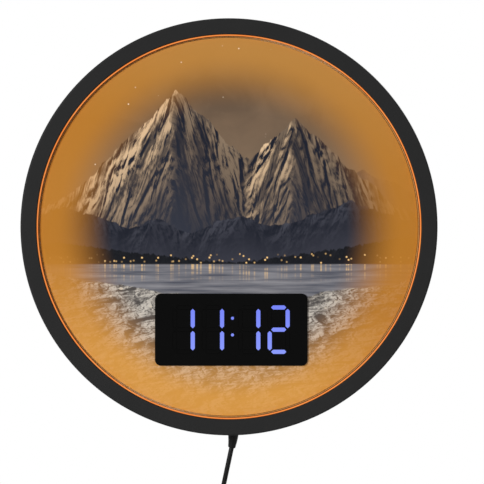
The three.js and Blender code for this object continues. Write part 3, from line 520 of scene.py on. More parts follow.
def moulded(name, colour, roughness, grain, depth, gloss=0.5):
    """Moulded plastic: a grain of a given size in millimetres breaks up its gloss; its colour varies in
    random clouds, with painted shade in the grain's pits and painted light on its lands.
    """
    made, tree, point = begin(name)
    noise = add(tree, NOISE, {"Vector": point, "Scale": 1 / (grain * MM), "Detail": 2.0})
    pits = add(tree, RANGE, {"Value": noise, "From Min": PIT_FLOOR, "From Max": PIT_RIM})
    cloud = add(tree, NOISE, {"Vector": point, "Scale": 1 / (CLOUD_SIZE * MM), "Detail": 2.0})
    # Painted shade and light: the grain's pits are coloured darker and its lands paler, mixed by depth with
    # random cloudy tone
    cloud_and_pit_shade = add(tree, MIX, [depth, cloud, pits])
    dark = shaded(colour, CLOUD_DARK - PIT_SHADE * depth)
    pale = shaded(colour, CLOUD_PALE + LAND_LIGHT * depth)
    shade = add(tree, BLEND, [cloud_and_pit_shade, dark, pale])
    spread = {"To Min": roughness - GLOSS_SPREAD, "To Max": roughness + GLOSS_SPREAD}
    rough = add(tree, RANGE, {"Value": pits, **spread})
    grained = {"Height": pits, "Strength": depth, "Distance": GRAIN_DEPTH * grain * MM}
    bump = add(tree, BUMP, grained)
    looks = {"Base Color": shade, "Roughness": rough, "Normal": bump, "Specular IOR Level": gloss}
    return surface(made, looks)


# Finishes: name, colour, roughness, size of the grain, its depth, and gloss where it isn't the usual one

# Charcoal ABS, moulded with a fine matt grain: an even dark grey with hardly any shine
charcoal = moulded("charcoal ABS, fine matt grain", "#1E1E1E", 0.62, 0.9, 0.25, 0.12)
# Black ABS with a coarser spark-eroded grain, as on rear covers
rear_black = moulded("black ABS, coarse eroded grain", "#1B1B1C", 0.55, 1.4, 0.6, 0.3)
# Polished black polycarbonate: deep black, with light only along its edges
display_black = moulded("black polycarbonate, polished", "#050505", 0.2, 2.5, 0.03, 0.04)
# Smoked resin that goes as dark as the display when its lamp is off
dark_segment = moulded("smoked resin, unlit", "#050505", 0.2, 2.0, 0.03, 0.04)
# Glass-filled nylon: dull, with a fine dry grain
housing_black = moulded("black nylon, moulded", "#121212", 0.5, 0.6, 0.2)
# Plain ABS in a polished mould: bright, with a soft sheen
white_abs = moulded("white ABS, moulded", "#F4F4F1", 0.5, 0.8, 0.1)
# Acetal: waxy and a little yellow
ivory = moulded("ivory acetal, moulded", "#E9E4D6", 0.42, 0.7, 0.1)
# Chip epoxy: dead matt from its filler
epoxy = moulded("black epoxy, moulded", "#1B1B1D", 0.6, 0.3, 0.3)
# Soft PVC sheath: dark, with a low greasy sheen
sheath = moulded("black PVC, extruded", "#101010", 0.42, 0.8, 0.12, 0.1)
# The boot's PVC is cast in a blasted mould and duller than the sheath
boot_black = moulded("black PVC, moulded", "#101010", 0.45, 0.7, 0.2, 0.1)
# Wire insulation in signal red
red_sheath = moulded("red PVC, extruded", "#B3261E", 0.4, 0.5, 0.1)
# Closed-cell foam: tan, dead matt, with open pores on its cut face
foam = moulded("tan foam, closed cell", "#B88A4E", 0.95, 0.7, 0.8, 0.1)
# Ink pressed on raised signs: dull white, slightly worn
sign_white = moulded("white ink, pad-printed", "#D8D8D4", 0.7, 0.4, 0.2, 0.2)
# Cast opal sheet: even and milky
opal = moulded("opal acrylic, cast", "#F2EFE8", 0.6, 3.0, 0.02)
# Flexible circuit under white lacquer
tape = moulded("white flexible circuit, lacquered", "#F0EAD8", 0.5, 1.0, 0.05)


def lit_resin():
    """Milky resin over blue lamps: a glow that is paler at the foot of a digit and deeper at its head."""
    made, tree, point = begin("milky resin, lit blue")
    axes = add(tree, AXES, [point])
    low = digit_box.bottom * MM
    high = digit_box.top * MM
    rise = add(tree, RANGE, {"Value": axes.outputs["Z"], "From Min": low, "From Max": high})
    glow = add(tree, BLEND, [rise, "#8A9AFC", "#7584F8"])
    return surface(
        made,
        {
            "Base Color": "#10101C",
            "Roughness": 0.35,
            "Specular IOR Level": 0.1,
            "Emission Color": glow,
            "Emission Strength": 1.0,
        },
    )


lit_segment = lit_resin()


LAMP_PATCH = 22.0
LIP_GLOW = 1.05


def amber_guide():
    """Amber acrylic light guide: its lip glows evenly, a little brighter in front of each lamp."""
    made, tree, point = begin("amber acrylic, light guide")
    patch = add(tree, NOISE, {"Vector": point, "Scale": 1 / (LAMP_PATCH * MM), "Detail": 1.0})
    glow = add(tree, BLEND, [patch, "#E8792E", "#F09850"])
    axes = add(tree, AXES, [point])
    foot = -(light.back + RING_FOOT) * MM
    lip = add(
        tree,
        RANGE,
        {"Value": axes.outputs["Y"], "From Min": foot, "From Max": foot - MM, "To Max": LIP_GLOW},
    )
    return surface(
        made,
        {
            "Base Color": "#5A2408",
            "Roughness": 0.3,
            "Specular IOR Level": 0.1,
            "Emission Color": glow,
            "Emission Strength": lip,
        },
    )


amber = amber_guide()


SCRATCH_DEPTH = 0.05
EVERY_WAY = (1.0, 1.0, 1.0)
UPRIGHT = (1.0, 1.0, 0.12)


def plated_steel(name, colour, grain, stretch):
    """Plated steel: fine scratches along one way spread its shine."""
    made, tree, point = begin(name)
    stretched = add(tree, VECTOR, [point, stretch], operation="MULTIPLY")
    scratch = add(tree, NOISE, {"Vector": stretched, "Scale": 1 / (grain * MM), "Detail": 4.0})
    rough = add(tree, RANGE, {"Value": scratch, "To Min": 0.2, "To Max": 0.42})
    bump = add(tree, BUMP, {"Height": scratch, "Strength": 0.15, "Distance": SCRATCH_DEPTH * MM})
    return surface(made, {"Base Color": colour, "Metallic": 1.0, "Roughness": rough, "Normal": bump})


nickel = plated_steel("nickel-plated steel, stamped", "#B9BCC0", 0.4, UPRIGHT)
screw_steel = plated_steel("black zinc steel, rolled", "#6A6C70", 0.3, EVERY_WAY)
gold = plated_steel("gold-plated brass, stamped", "#D9B35A", 0.4, UPRIGHT)


BOARD_WEAVE = 1.2


def laminate():
    """Glass-fibre board under green solder resist: its weave shows faintly through the lacquer."""
    made, tree, point = begin("glass fibre, green resist")
    weave = add(tree, "ShaderNodeTexChecker", {"Vector": point, "Scale": 1 / (BOARD_WEAVE * MM)})
    cloth = weave.outputs["Fac"]
    shade = add(tree, BLEND, [cloth, "#1C5232", "#22603B"])
    return surface(made, {"Base Color": shade, "Roughness": 0.35})


green_board = laminate()

# Repeated pieces: Geometry Nodes trees that set copies of a piece on points


def begin_repeats(name, sizes):
    """Starts a tree whose inputs are a piece, its finish and named sizes."""
    tree = bpy.data.node_groups.new(name, "GeometryNodeTree")
    tree.interface.new_socket("Geometry", in_out="OUTPUT", socket_type="NodeSocketGeometry")
    kinds = {"Piece": "NodeSocketObject", "Finish": "NodeSocketMaterial", **sizes}
    for title, kind in kinds.items():
        tree.interface.new_socket(title, in_out="INPUT", socket_type=kind)
    return tree, add(tree, "NodeGroupInput").outputs


def end_repeats(tree, given, points, rotation=(0.0, 0.0, 0.0)):
    """Ends a tree with copies of its piece on the points, made real and finished."""
    source = add(tree, "GeometryNodeObjectInfo", {"Object": given["Piece"]})
    placed = {"Points": points, "Instance": source.outputs["Geometry"], "Rotation": rotation}
    copies = add(tree, "GeometryNodeInstanceOnPoints", placed)
    real = add(tree, "GeometryNodeRealizeInstances", {"Geometry": copies})
    finished = add(tree, "GeometryNodeSetMaterial", {"Geometry": real, "Material": given["Finish"]})
    add(tree, "NodeGroupOutput", {"Geometry": finished})
    return tree


def repeated(name, tree, values):
    """The plain mesh that a tree makes from its inputs, which are set by their titles."""
    made = bpy.data.objects.new(name, bpy.data.meshes.new(name))
    scene.collection.objects.link(made)
    modifier = made.modifiers.new("repeats", "NODES")
    modifier.node_group = tree
    for socket in tree.interface.items_tree:
        if socket.in_out == "INPUT":
            modifier[socket.identifier] = values[socket.name]
    settle(made)
    bpy.data.objects.remove(values["Piece"])
    return made


# Picture on the panel: a generic dusk landscape with peaks over a lake, all from noise and straight flanks.
# Its places and lengths are in millimetres from the middle of the panel.

# Sky
SKY_FOOT = 10.0
SKY_TOP = 105.0
CLOUD_LENGTH = 34.0
STAR_SPACING = 8.0

# Rock
SUN_STEP = (0.16, 0.0, -0.1)
EVEN_LIGHT = 0.45
SHADE_LIGHT = 0.3
LOW_LIGHT = 0.06
HAZE_SHARE = 0.9
SHOULDER = 4.0
FLANK_STEP = 5.0
RIDGE_SWAY = 11.0
RIDGE_LENGTH = 24.0
RIDGE_BLEND = 3.0
GULLY_LEAN = 0.42
SPUR_SCALE = 3.4
SPUR_SEED = 5
SPUR_GAIN = 1.5
SPUR_LEAST = 0.2
SKYLINE_BLUR = 0.4

# Lake, with the houses on its far shore
WATER_LINE = -27.0
SHORE_BLUR = 0.5
RIPPLE_LENGTH = 46.0
RIPPLE_HEIGHT = 2.6
RIPPLE_SHAKE = 16.0
HOUSE_FOOT = 0.8
HOUSE_RISE = 7.0
LAMP_EDGE = 0.9
LAMP_CORE = 0.3
STREAK_LENGTH = 13.0
STREAK_EDGE = 0.8
STREAK_CORE = 0.2

# Near shore
SAND_LINE = -48.0
SAND_GAIN = 2.2
STONE_WIDTH = 7.0
STONE_HEIGHT = 4.4

# Amber light from the rim and from the foot: where it starts, and where it is full
RIM_START = 84.0
RIM_FULL = 126.0
FOOT_START = -56.0
FOOT_FULL = -128.0
GLOW_TILT = 0.18
TOP_START = 60.0
TOP_FULL = 130.0
LOW_START = -40.0
LOW_FULL = -110.0

# Each range: its peaks as (across, top, slope); the height and length of the noise that breaks its skyline;
# the width, height and strength of its relief; its shade, its lit side and its haze; how far below the
# skyline the light and the haze reach
FAR_RANGE = {
    "peaks": [(-118, 12, 0.3), (-78, 36, 0.45), (6, 40, 0.4), (96, 40, 0.42)],
    "wobble": (5.0, 26.0),
    "relief": (10, 20, 6.0),
    "colours": ("#4E4849", "#8F7C6B", "#7A6C62"),
    "reach": (30, 46),
    "seed": 3.1,
}
MAIN_RANGE = {
    "peaks": [(-96, 36, 0.62), (-38, 98, 1.0), (0, 58, 0.7), (48, 78, 0.9), (106, 24, 0.5)],
    "wobble": (7.0, 20.0),
    "relief": (9, 26, 7.0),
    "colours": ("#1D202B", "#E6C49C", "#353843"),
    "reach": (96, 120),
    "seed": 8.4,
}
MIDDLE_RANGE = {
    "peaks": [(-118, 14, 0.3), (-52, 4, 0.3), (10, 8, 0.32), (88, 18, 0.34)],
    "wobble": (5.0, 24.0),
    "relief": (8, 14, 6.0),
    "colours": ("#1B1E28", "#4A4B55", "#3E3F49"),
    "reach": (30, 44),
    "seed": 15.7,
}
WOODED_SHORE = {
    "peaks": [(-124, -11, 0.14), (-60, -20, 0.1), (70, -18, 0.12), (128, -7, 0.18)],
    "wobble": (3.0, 4.0),
    "relief": (3, 6, 5.0),
    "colours": ("#14161B", "#26272B", "#2A2B31"),
    "reach": (16, 30),
    "seed": 21.3,
}


def flanks(tree, x, peaks):
    """Height at x of the highest flank, with softened hollows between."""
    line = -200.0
    for place, top, slope in peaks:
        aside = add(tree, MINUS, [x, place])
        away = add(tree, MATH, [aside], operation="ABSOLUTE")
        flank = add(tree, TIMES_PLUS, [away, -slope, top])
        line = add(tree, MATH, [flank, line, SHOULDER], operation="SMOOTH_MAX")
    return line


def skyline(tree, x, peaks, wobble, seed):
    """The flanks broken up by noise."""
    height, length = wobble
    along = add(tree, TIMES_PLUS, [x, 1 / length, seed])
    rough = {"W": along, "Detail": 8.0, "Roughness": 0.62, "Scale": 1.0}
    rugged = add(tree, NOISE, rough, noise_dimensions="1D")
    broken = add(tree, TIMES_PLUS, [rugged, 2 * height, -height])
    return add(tree, PLUS, [flanks(tree, x, peaks), broken])


def sunny_side(tree, x, up, peaks, seed):
    """Light on the left flank of each peak and shade on the right one, parted by a ridge that sways."""
    down = add(tree, TIMES_PLUS, [up, 1 / RIDGE_LENGTH, seed])
    bend = add(tree, NOISE, {"W": down, "Detail": 3.0, "Scale": 1.0}, noise_dimensions="1D")
    sway = add(tree, TIMES_PLUS, [bend, 2 * RIDGE_SWAY, -RIDGE_SWAY])
    here = add(tree, PLUS, [x, sway])
    ahead = add(tree, PLUS, [here, FLANK_STEP])
    near = flanks(tree, here, peaks)
    climb = add(tree, MINUS, [flanks(tree, ahead, peaks), near])
    return add(tree, RANGE, {"Value": climb, "From Min": -RIDGE_BLEND, "From Max": RIDGE_BLEND})


def relief(tree, point, size, seed):
    """Light and shade of broken ground: noise against the same noise a step towards the sun."""
    across, rise, gain = size
    spread = (1 / across, 0.0, 1 / rise)
    spot = add(tree, VECTOR, [point, spread, (seed,) * 3], operation="MULTIPLY_ADD")
    stepped = add(tree, VECTOR, [spot, SUN_STEP], operation="ADD")
    rough = {"Scale": 1.0, "Detail": 8.0, "Roughness": 0.6, "Distortion": 0.5}
    here = add(tree, NOISE, {"Vector": spot, **rough})
    there = add(tree, NOISE, {"Vector": stepped, **rough})
    slope = add(tree, MINUS, [there, here])
    return add(tree, TIMES_PLUS, [slope, gain, EVEN_LIGHT], use_clamp=True)


def gullies(tree, x, up, depth, side, style):
    """Relief of a mountain: its gullies run down to the left on one flank and to the right on the other."""
    flank_light = []
    for lean in (-GULLY_LEAN, GULLY_LEAN):
        across = add(tree, TIMES_PLUS, [depth, lean, x])
        fall = add(tree, SPOT, {"X": across, "Z": up})
        fine = relief(tree, fall, style["relief"], style["seed"])
        width, height, gain = style["relief"]
        broad = (SPUR_SCALE * width, SPUR_SCALE * height, gain)
        spurs = relief(tree, fall, broad, style["seed"] + SPUR_SEED)
        share = add(tree, TIMES_PLUS, [spurs, SPUR_GAIN, SPUR_LEAST])
        flank_light.append(add(tree, TIMES, [fine, share], use_clamp=True))
    right, left = flank_light
    return add(tree, MIX, [side, right, left])


def paint_range(tree, behind, x, up, style):
    """Lays a range of hills over the colour behind it, and returns the new colour and the skyline."""
    line = skyline(tree, x, style["peaks"], style["wobble"], style["seed"])
    depth = add(tree, MINUS, [line, up])
    lit_reach, haze_reach = style["reach"]
    shade, sunlit, haze = style["colours"]
    side = sunny_side(tree, x, up, style["peaks"], style["seed"])
    slope = gullies(tree, x, up, depth, side, style)
    fade = add(tree, RANGE, {"Value": depth, "From Max": lit_reach, "To Min": 1.0, "To Max": LOW_LIGHT})
    open_sky = add(tree, RANGE, {"Value": side, "To Min": SHADE_LIGHT})
    facing = add(tree, TIMES, [slope, open_sky])
    sun = add(tree, TIMES, [facing, fade])
    rock = add(tree, BLEND, [sun, shade, sunlit])
    far = {"Value": depth, "From Max": haze_reach, "To Max": HAZE_SHARE}
    veil = add(tree, RANGE, far, interpolation_type="SMOOTHSTEP")
    hazy = add(tree, BLEND, [veil, rock, haze])
    inside = add(tree, RANGE, {"Value": depth, "From Min": -SKYLINE_BLUR, "From Max": SKYLINE_BLUR})
    return add(tree, BLEND, [inside, behind, hazy]), line


def paint_sky(tree, point, up):
    """Brown dusk above, paler over the peaks, with drifting cloud."""
    height = add(tree, RANGE, {"Value": up, "From Min": SKY_FOOT, "From Max": SKY_TOP})
    sky = add(tree, BLEND, [height, "#8A7560", "#5C4A3B"])
    drift = add(tree, NOISE, {"Vector": point, "Scale": 1 / CLOUD_LENGTH, "Detail": 5.0, "Distortion": 0.6})
    veil = add(tree, RANGE, {"Value": drift, "From Min": 0.45, "From Max": 0.75, "To Max": 0.4})
    return add(tree, BLEND, [veil, sky, "#94795F"])


def paint_stars(tree, behind, point, up, lines):
    """Small stars above the skylines, each of its own brightness."""
    stars = add(tree, CELLS, {"Vector": point, "Scale": 1 / STAR_SPACING})
    near = add(tree, RANGE, {"Value": stars, "From Min": 0.085, "From Max": 0.03})
    chance = add(tree, CHANCES, [stars.outputs["Color"]])
    bright = add(tree, RANGE, {"Value": chance, "From Min": 0.2, "From Max": 1.0, "To Max": 0.9})
    star = add(tree, TIMES, [near, bright])
    ground = add(tree, LARGER, [lines[0], lines[1]])
    above = add(tree, MATH, [up, ground], operation="GREATER_THAN")
    shown = add(tree, TIMES, [star, above])
    return add(tree, BLEND, [shown, behind, "#FFEFD6"])


def paint_lamps(tree, behind, x, up, ripple, spacing, seed):
    """Warm house lamps strewn along the far shore, each over its streak in the water."""
    along = add(tree, TIMES_PLUS, [x, 1 / spacing, seed])
    houses = add(tree, CELLS, {"W": along, "Scale": 1.0}, voronoi_dimensions="1D")
    chance = add(tree, CHANCES, [houses.outputs["Color"]])
    aside = add(tree, TIMES, [houses, spacing])
    perch = add(tree, TIMES_PLUS, [chance, HOUSE_RISE, WATER_LINE + HOUSE_FOOT])
    above = add(tree, MINUS, [up, perch])
    offset = add(tree, SPOT, {"X": aside, "Y": above})
    away = add(tree, VECTOR, [offset], operation="LENGTH")
    lamp = add(tree, RANGE, {"Value": away, "From Min": LAMP_EDGE, "From Max": LAMP_CORE})
    reach = {"From Min": WATER_LINE - STREAK_LENGTH, "From Max": WATER_LINE, "To Max": 0.8}
    below = add(tree, RANGE, {"Value": up, **reach})
    wet = add(tree, MATH, [up, WATER_LINE], operation="LESS_THAN")
    narrow = add(tree, RANGE, {"Value": aside, "From Min": STREAK_EDGE, "From Max": STREAK_CORE})
    streak = add(tree, TIMES, [below, narrow])
    broken = add(tree, RANGE, {"Value": ripple, "From Min": 0.42, "From Max": 0.58})
    wet_streak = add(tree, TIMES, [streak, wet])
    mirrored = add(tree, TIMES, [wet_streak, broken])
    light_up = add(tree, LARGER, [lamp, mirrored])
    lit = add(tree, RANGE, {"Value": chance.outputs["Green"], "From Min": 0.3, "From Max": 0.8})
    shown = add(tree, TIMES, [light_up, lit])
    return add(tree, BLEND, [shown, behind, "#FFD08A"])


def paint_lake(tree, behind, point, up, crest):
    """Slate water with long ripples, and the main range upside down in it."""
    long = add(tree, VECTOR, [point, (1 / RIPPLE_LENGTH, 0.0, 1 / RIPPLE_HEIGHT)], operation="MULTIPLY")
    ripple = add(tree, NOISE, {"Vector": long, "Scale": 1.0, "Detail": 6.0})
    band = add(tree, RANGE, {"Value": ripple, "From Min": 0.32, "From Max": 0.7})
    water = add(tree, BLEND, [band, "#5C5E69", "#ADABAF"])
    sunk = add(tree, TIMES_PLUS, [up, -1.0, 2 * WATER_LINE])
    shaken = add(tree, TIMES_PLUS, [ripple, RIPPLE_SHAKE, sunk])
    below = add(tree, MINUS, [crest, shaken])
    dark = add(tree, RANGE, {"Value": below, "From Min": -8.0, "From Max": 14.0, "To Max": 0.4})
    mirror = add(tree, BLEND, [dark, water, "#33363F"])
    edge = {"From Min": WATER_LINE + SHORE_BLUR, "From Max": WATER_LINE - SHORE_BLUR}
    wet = add(tree, RANGE, {"Value": up, **edge})
    return add(tree, BLEND, [wet, behind, mirror]), ripple


def paint_shore(tree, behind, point, x, up):
    """Grey broken sand in front of the lake, with stones that are lit or dark."""
    rises = [(-130, SAND_LINE + 14, 0.16), (130, SAND_LINE + 9, 0.14)]
    bank = skyline(tree, x, rises, (4.0, 30.0), 31.9)
    broad = relief(tree, point, (26, 9, 5.0), 41.0)
    fine = relief(tree, point, (6, 2.6, 4.5), 47.0)
    sun = add(tree, TIMES, [broad, fine])
    bright = add(tree, TIMES, [sun, SAND_GAIN], use_clamp=True)
    sand = add(tree, BLEND, [bright, "#4E4A48", "#C4BDB3"])
    strewn = add(tree, VECTOR, [point, (1 / STONE_WIDTH, 0.0, 1 / STONE_HEIGHT)], operation="MULTIPLY")
    stones = add(tree, CELLS, {"Vector": strewn, "Scale": 1.0})
    chance = add(tree, CHANCES, [stones.outputs["Color"]])
    size = add(tree, RANGE, {"Value": chance, "From Min": 0.35, "From Max": 1.0, "To Max": 0.26})
    inner = add(tree, MINUS, [size, stones])
    stone = add(tree, RANGE, {"Value": inner, "From Max": 0.06, "To Max": 0.8})
    pale = chance.outputs["Green"]
    rock = add(tree, BLEND, [pale, "#6B6259", "#DCCFBB"])
    ground = add(tree, BLEND, [stone, sand, rock])
    ashore = add(tree, MINUS, [bank, up])
    dry = add(tree, RANGE, {"Value": ashore, "From Min": -SHORE_BLUR, "From Max": SHORE_BLUR})
    return add(tree, BLEND, [dry, behind, ground])


def paint_rim_light(tree, behind, radius, x, up):
    """Amber from the lamps round the rim: it fades towards the middle, and is brightest low on the left."""
    ease = {"interpolation_type": "SMOOTHSTEP"}
    rim_reach = {"From Min": RIM_START, "From Max": RIM_FULL, "To Max": 0.92}
    rim = add(tree, RANGE, {"Value": radius, **rim_reach}, **ease)
    foot_reach = {"From Min": FOOT_START, "From Max": FOOT_FULL, "To Max": 0.8}
    foot = add(tree, RANGE, {"Value": up, **foot_reach}, **ease)
    reach = add(tree, LARGER, [rim, foot])
    tilt = add(tree, TIMES_PLUS, [x, GLOW_TILT, up])
    top = add(tree, RANGE, {"Value": tilt, "From Min": TOP_START, "From Max": TOP_FULL})
    low = add(tree, RANGE, {"Value": tilt, "From Min": LOW_START, "From Max": LOW_FULL})
    side = add(tree, BLEND, [top, "#BA7B2C", "#BE8742"])
    glow = add(tree, BLEND, [low, side, "#D49643"])
    return add(tree, BLEND, [reach, behind, glow])


def picture():
    """Acrylic printed on its back and lit round its rim: a landscape that is warmer towards the edge."""
    made, tree, place = begin("acrylic, printed and edge-lit")
    point = add(tree, VECTOR, [place, (1 / MM, 0.0, 1 / MM)], operation="MULTIPLY")
    axes = add(tree, AXES, [point])
    x = axes.outputs["X"]
    up = axes.outputs["Z"]
    radius = add(tree, VECTOR, [point], operation="LENGTH")
    colour = paint_sky(tree, point, up)
    colour, far_line = paint_range(tree, colour, x, up, FAR_RANGE)
    colour, crest = paint_range(tree, colour, x, up, MAIN_RANGE)
    colour, _ = paint_range(tree, colour, x, up, MIDDLE_RANGE)
    colour, _ = paint_range(tree, colour, x, up, WOODED_SHORE)
    colour, ripple = paint_lake(tree, colour, point, up, crest)
    colour = paint_lamps(tree, colour, x, up, ripple, 6.0, 53.0)
    colour = paint_lamps(tree, colour, x, up, ripple, 4.1, 61.0)
    colour = paint_shore(tree, colour, point, x, up)
    colour = paint_rim_light(tree, colour, radius, x, up)
    colour = paint_stars(tree, colour, point, up, (far_line, crest))
    return surface(
        made,
        {
            "Base Color": colour,
            "Roughness": 0.4,
            "Specular IOR Level": 0.04,
            "Emission Color": colour,
            "Emission Strength": 0.05,
        },
    )


printed = picture()

# Camera: straight in front, framed as the photograph is

PHOTO_SIZE = 484
CLOCK_CENTRE = (229.0, 226.8)  # pixels of the photograph
CLOCK_RADIUS = 208.6
LENS = 250.0
SENSOR = 36.0


def set_camera():
    view_width = PHOTO_SIZE / CLOCK_RADIUS * CASE_RADIUS
    distance = view_width * LENS / SENSOR
    data = bpy.data.cameras.new("front view")
    data.lens = LENS
    data.sensor_width = SENSOR
    data.shift_x = 0.5 - CLOCK_CENTRE[0] / PHOTO_SIZE
    data.shift_y = CLOCK_CENTRE[1] / PHOTO_SIZE - 0.5
    camera = bpy.data.objects.new("front view", data)
    camera.location = at(0, 0, case.front - EDGE_ROUND + distance)
    camera.rotation_euler = (math.pi / 2, 0, 0)
    scene.collection.objects.link(camera)
    scene.camera = camera


set_camera()

# Power lead: one cord from the boot through a tied coil to its plug


def boot_point(share):
    """A point on the bent axis of the boot, and how far it leans there."""
    bend = BOOT_LENGTH / BOOT_BEND
    lean = BOOT_BEND * share
    return PLUG_X - bend * (1 - math.cos(lean)), BOOT_TOP - bend * math.sin(lean), lean


def turn_point(turns):
    """A point of the coil's centre line: layers that spiral in and out, each climbing as it reverses."""
    layer = min(int(turns / LAYER_TURNS), math.ceil(COIL_TURNS / LAYER_TURNS) - 1)
    along = turns - layer * LAYER_TURNS
    drawn = TURN_PITCH * min(along, LAYER_SPIRAL)
    radius = COIL_INNER + (drawn if layer % 2 else TURN_PITCH * LAYER_SPIRAL - drawn)
    share = max(0.0, (along - LAYER_SPIRAL) / (LAYER_TURNS - LAYER_SPIRAL))
    climb = share * share * (3 - 2 * share)
    angle = COIL_START + 2 * math.pi * turns
    return Vector((radius * math.cos(angle), radius * math.sin(angle), (layer + climb) * TURN_PITCH))


def heading(turns):
    step = 0.001
    ahead = turn_point(turns + step) - turn_point(turns - step)
    return Vector((ahead.x, ahead.y, 0)).normalized()


TIP_X, TIP_UP, TIP_LEAN = boot_point(1)
boot_tip = Vector((TIP_X, TIP_UP, PLUG_LEVEL))
coil_in = heading(0.001)
coil_out = heading(COIL_TURNS - 0.001)
cord_straight = 2 * CORD_RADIUS
coil_centre = boot_tip + Vector(LEAD_ROUTE[-1]) + coil_in * (SEAT_GAP + cord_straight) - turn_point(0)
tail_start = coil_centre + turn_point(COIL_TURNS) + coil_out * (cord_straight + SEAT_GAP)
plug_start = tail_start + coil_out * (TAIL_LENGTH + SEAT_GAP)


def smooth_route(points, steps):
    """Points along a smooth curve through the given ones."""
    ends = [2 * points[0] - points[1], *points, 2 * points[-1] - points[-2]]
    route = []
    for a, b, c, d in zip(ends, ends[1:], ends[2:], ends[3:]):
        for i in range(steps):
            t = i / steps
            bend = (2 * a - 5 * b + 4 * c - d) * t**2 + (3 * b - a - 3 * c + d) * t**3
            route.append(0.5 * (2 * b + (c - a) * t + bend))
    return [*route, points[-1]]


def power_cord():
    into_boot = Vector((math.sin(TIP_LEAN), math.cos(TIP_LEAN), 0))
    lead = [boot_tip + into_boot, *(boot_tip + Vector(spot) for spot in LEAD_ROUTE)]
    count = round(COIL_TURNS * COIL_STEPS)
    coil = [coil_centre + turn_point(COIL_TURNS * i / count) for i in range(count + 1)]
    route = [*smooth_route(lead, 4), *coil, plug_start + coil_out]
    data = bpy.data.curves.new("power_cord", "CURVE")
    data.dimensions = "3D"
    data.bevel_depth = CORD_RADIUS * MM
    data.bevel_resolution = 4
    data.use_fill_caps = True
    spline = data.splines.new("POLY")
    spline.points.add(len(route) - 1)
    for point, spot in zip(spline.points, route):
        point.co = (*at(*spot), 1.0)
    spline.use_smooth = True
    cord = bpy.data.objects.new("power_cord", data)
    scene.collection.objects.link(cord)
    data.materials.append(sheath)
    length = sum((b - a).length for a, b in zip(route, route[1:])) * MM
    return cord, length


cord, cord_length = power_cord()


def plug_boot():
    """Strain relief: it bends with the lead, tapers below its shoulder, and has a rounded tip."""
    stations = [(i / BOOT_STEPS, 0.0) for i in range(BOOT_STEPS - 1)]
    for i in range(TIP_STEPS + 1):
        turn = math.pi / 2 * i / TIP_STEPS
        share = 1 - BOOT_TIP_ROUND / BOOT_LENGTH * (1 - math.sin(turn))
        stations.append((share, BOOT_TIP_ROUND * (1 - math.cos(turn))))
    rings = []
    for share, inset in stations:
        x, up, lean = boot_point(share)
        taper = max(0.0, (share - BOOT_SHOULDER) / (1 - BOOT_SHOULDER))
        radius = BOOT_RADIUS + (BOOT_TIP_RADIUS - BOOT_RADIUS) * taper - inset
        ring = []
        for turn in turns_of(SMALL_SIDES):
            across = radius * math.cos(turn)
            level = PLUG_LEVEL + radius * math.sin(turn)
            ring.append(at(x + across * math.cos(lean), up - across * math.sin(lean), level))
        rings.append(ring)
    return loft("plug_boot", rings)


boot_piece = dress(plug_boot(), boot_black, ["dc_plug_boot"])

# Tie round the coil: a woven strap with its end lapped over

STRAP_WIDTH = 8.0
STRAP_THICKNESS = 1.2
STRAP_GAP = 0.5
STRAP_ANGLE = math.radians(-20)
STRAP_WEAVE = 0.9
STRAP_EDGE = 0.35
STRAP_BEND = 2.5 * STRAP_THICKNESS
LAP_INSET = 1.2
LAP_LENGTH = 11.0
LAP_CORNER = 1.6
LAP_LAYERS = ((-0.2, 1.0), (0.5, 1.0), (0.8, 0.94))  # level over the loop, and share of the full size


def woven_strap():
    """Woven nylon hook-and-loop: crossed threads, dull, with a little fuzz of light."""
    made, tree, point = begin("black nylon, woven strap")
    threads = add(tree, VECTOR, {0: point, "Scale": math.pi / (STRAP_WEAVE * MM)}, operation="SCALE")
    axes = add(tree, AXES, [threads])
    across, deep, rise = (add(tree, MATH, [axis], operation="SINE") for axis in axes.outputs)
    crossed = add(tree, TIMES_PLUS, [across, rise, deep])
    weave = add(tree, RANGE, {"Value": crossed, "From Min": -1.5, "From Max": 1.5})
    shade = add(tree, BLEND, [weave, "#0B0B0C", "#1E1E20"])
    bump = add(tree, BUMP, {"Height": weave, "Strength": 0.7, "Distance": 0.2 * MM})
    return surface(
        made,
        {
            "Base Color": shade,
            "Roughness": 0.9,
            "Specular IOR Level": 0.2,
            "Sheen Weight": 0.25,
            "Sheen Roughness": 0.5,
            "Normal": bump,
        },
    )


